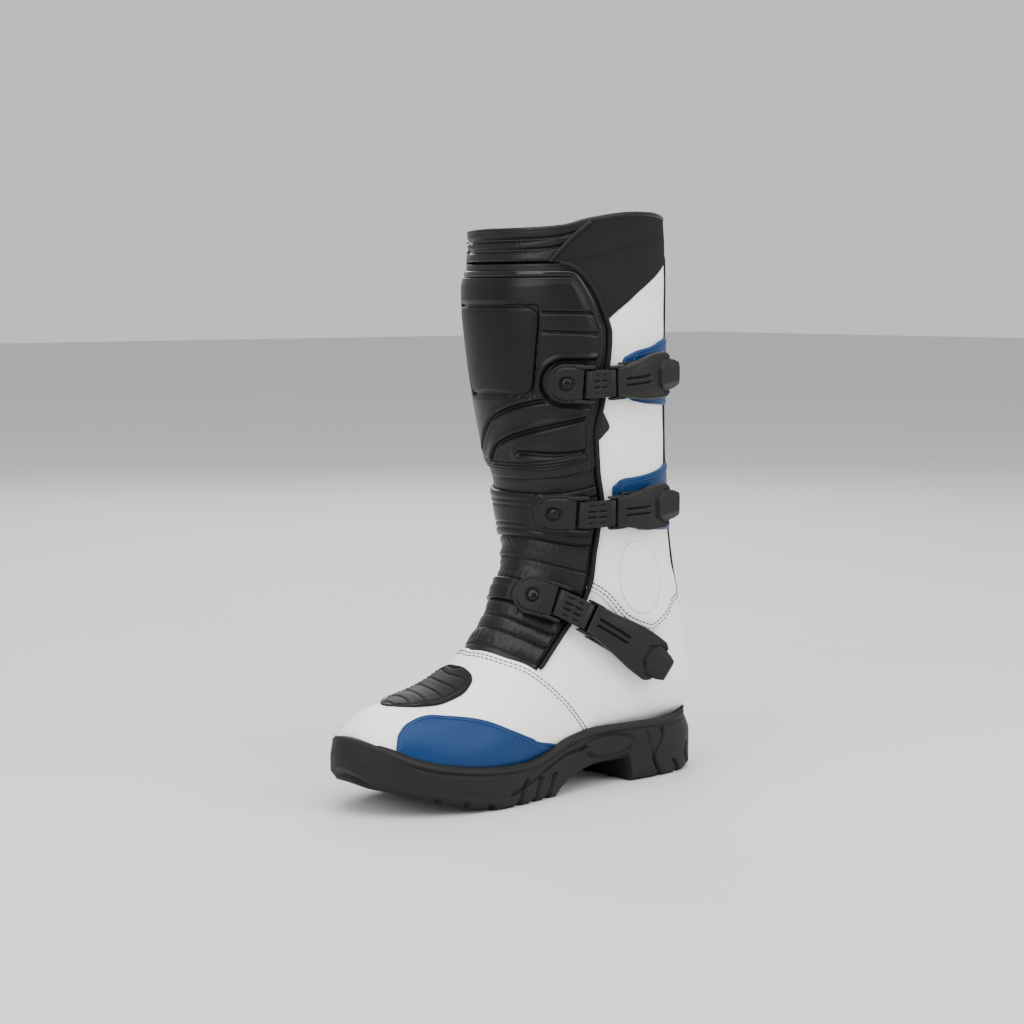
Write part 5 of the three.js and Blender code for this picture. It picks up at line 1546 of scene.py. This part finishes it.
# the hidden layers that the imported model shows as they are
KEPT = {"lasting_board": BOARD, "shank": STEEL, "toe_stiffener": STIFFENER, "heel_counter": STIFFENER,
        "ankle_disc_outer": STIFFENER, "ankle_disc_inner": STIFFENER}
for node, material in KEPT.items():
    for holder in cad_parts[node].material_slots:
        holder.material = material


# ---------------------------------------------------------------- floor, light and camera
FLOOR_HALF = 12.0
FLOOR_COLOR = (0.62, 0.62, 0.61)


def floor():
    corners = [(x * FLOOR_HALF, y * FLOOR_HALF, 0) for x, y in ((-1, -1), (1, -1), (1, 1), (-1, 1))]
    mesh = bpy.data.meshes.new("floor")
    mesh.from_pydata(corners, [], [(0, 1, 2, 3)])
    material, add = shader("pale_floor", FLOOR_COLOR, 0.8)
    where = add("TexCoord").outputs["Object"]
    tint(add, FLOOR_COLOR, 0.04, add("TexNoise", None, Vector=where, Scale=3.0, Detail=5.0).outputs["Fac"])
    mesh.materials.append(material)
    made = bpy.data.objects.new("floor", mesh)
    bpy.context.scene.collection.objects.link(made)


LAMP_TARGET = Vector((0, 0, 0.2))


def lamp(name, place, size, power):
    data = bpy.data.lights.new(name, "AREA")
    data.size = size
    data.energy = power
    made = bpy.data.objects.new(name, data)
    made.location = place
    made.rotation_euler = (LAMP_TARGET - made.location).to_track_quat("-Z", "Y").to_euler()
    bpy.context.scene.collection.objects.link(made)


CAMERA_PLACE = Vector((-1.0606, -1.2640, 0.351)) + Vector(SHIFT)
CAMERA_TURN = 40.0  # degrees from +Y toward +X, and down
CAMERA_PITCH = 5.43
CAMERA_LENS = 83.5


def camera():
    data = bpy.data.cameras.new("camera")
    data.lens = CAMERA_LENS
    data.sensor_width = 36
    data.dof.use_dof = False
    made = bpy.data.objects.new("camera", data)
    turn, pitch = math.radians(CAMERA_TURN), math.radians(CAMERA_PITCH)
    look = Vector((math.sin(turn) * math.cos(pitch), math.cos(turn) * math.cos(pitch), -math.sin(pitch)))
    made.location = CAMERA_PLACE
    made.rotation_euler = look.to_track_quat("-Z", "Y").to_euler()
    bpy.context.scene.collection.objects.link(made)
    bpy.context.scene.camera = made


floor()
lamp("overhead", (-0.3, -0.5, 2.2), 2.4, 68)
lamp("from_left", (-2.2, -0.6, 1.2), 1.6, 34)
lamp("from_right", (1.0, -2.2, 1.3), 1.6, 34)
lamp("from_behind", (1.2, 1.8, 1.5), 1.4, 26)
world = bpy.data.worlds.new("sky")
world.use_nodes = True
sky = world.node_tree.nodes["Background"]
sky.inputs["Color"].default_value = (0.93, 0.95, 0.98, 1)
sky.inputs["Strength"].default_value = 0.8
bpy.context.scene.world = world
camera()
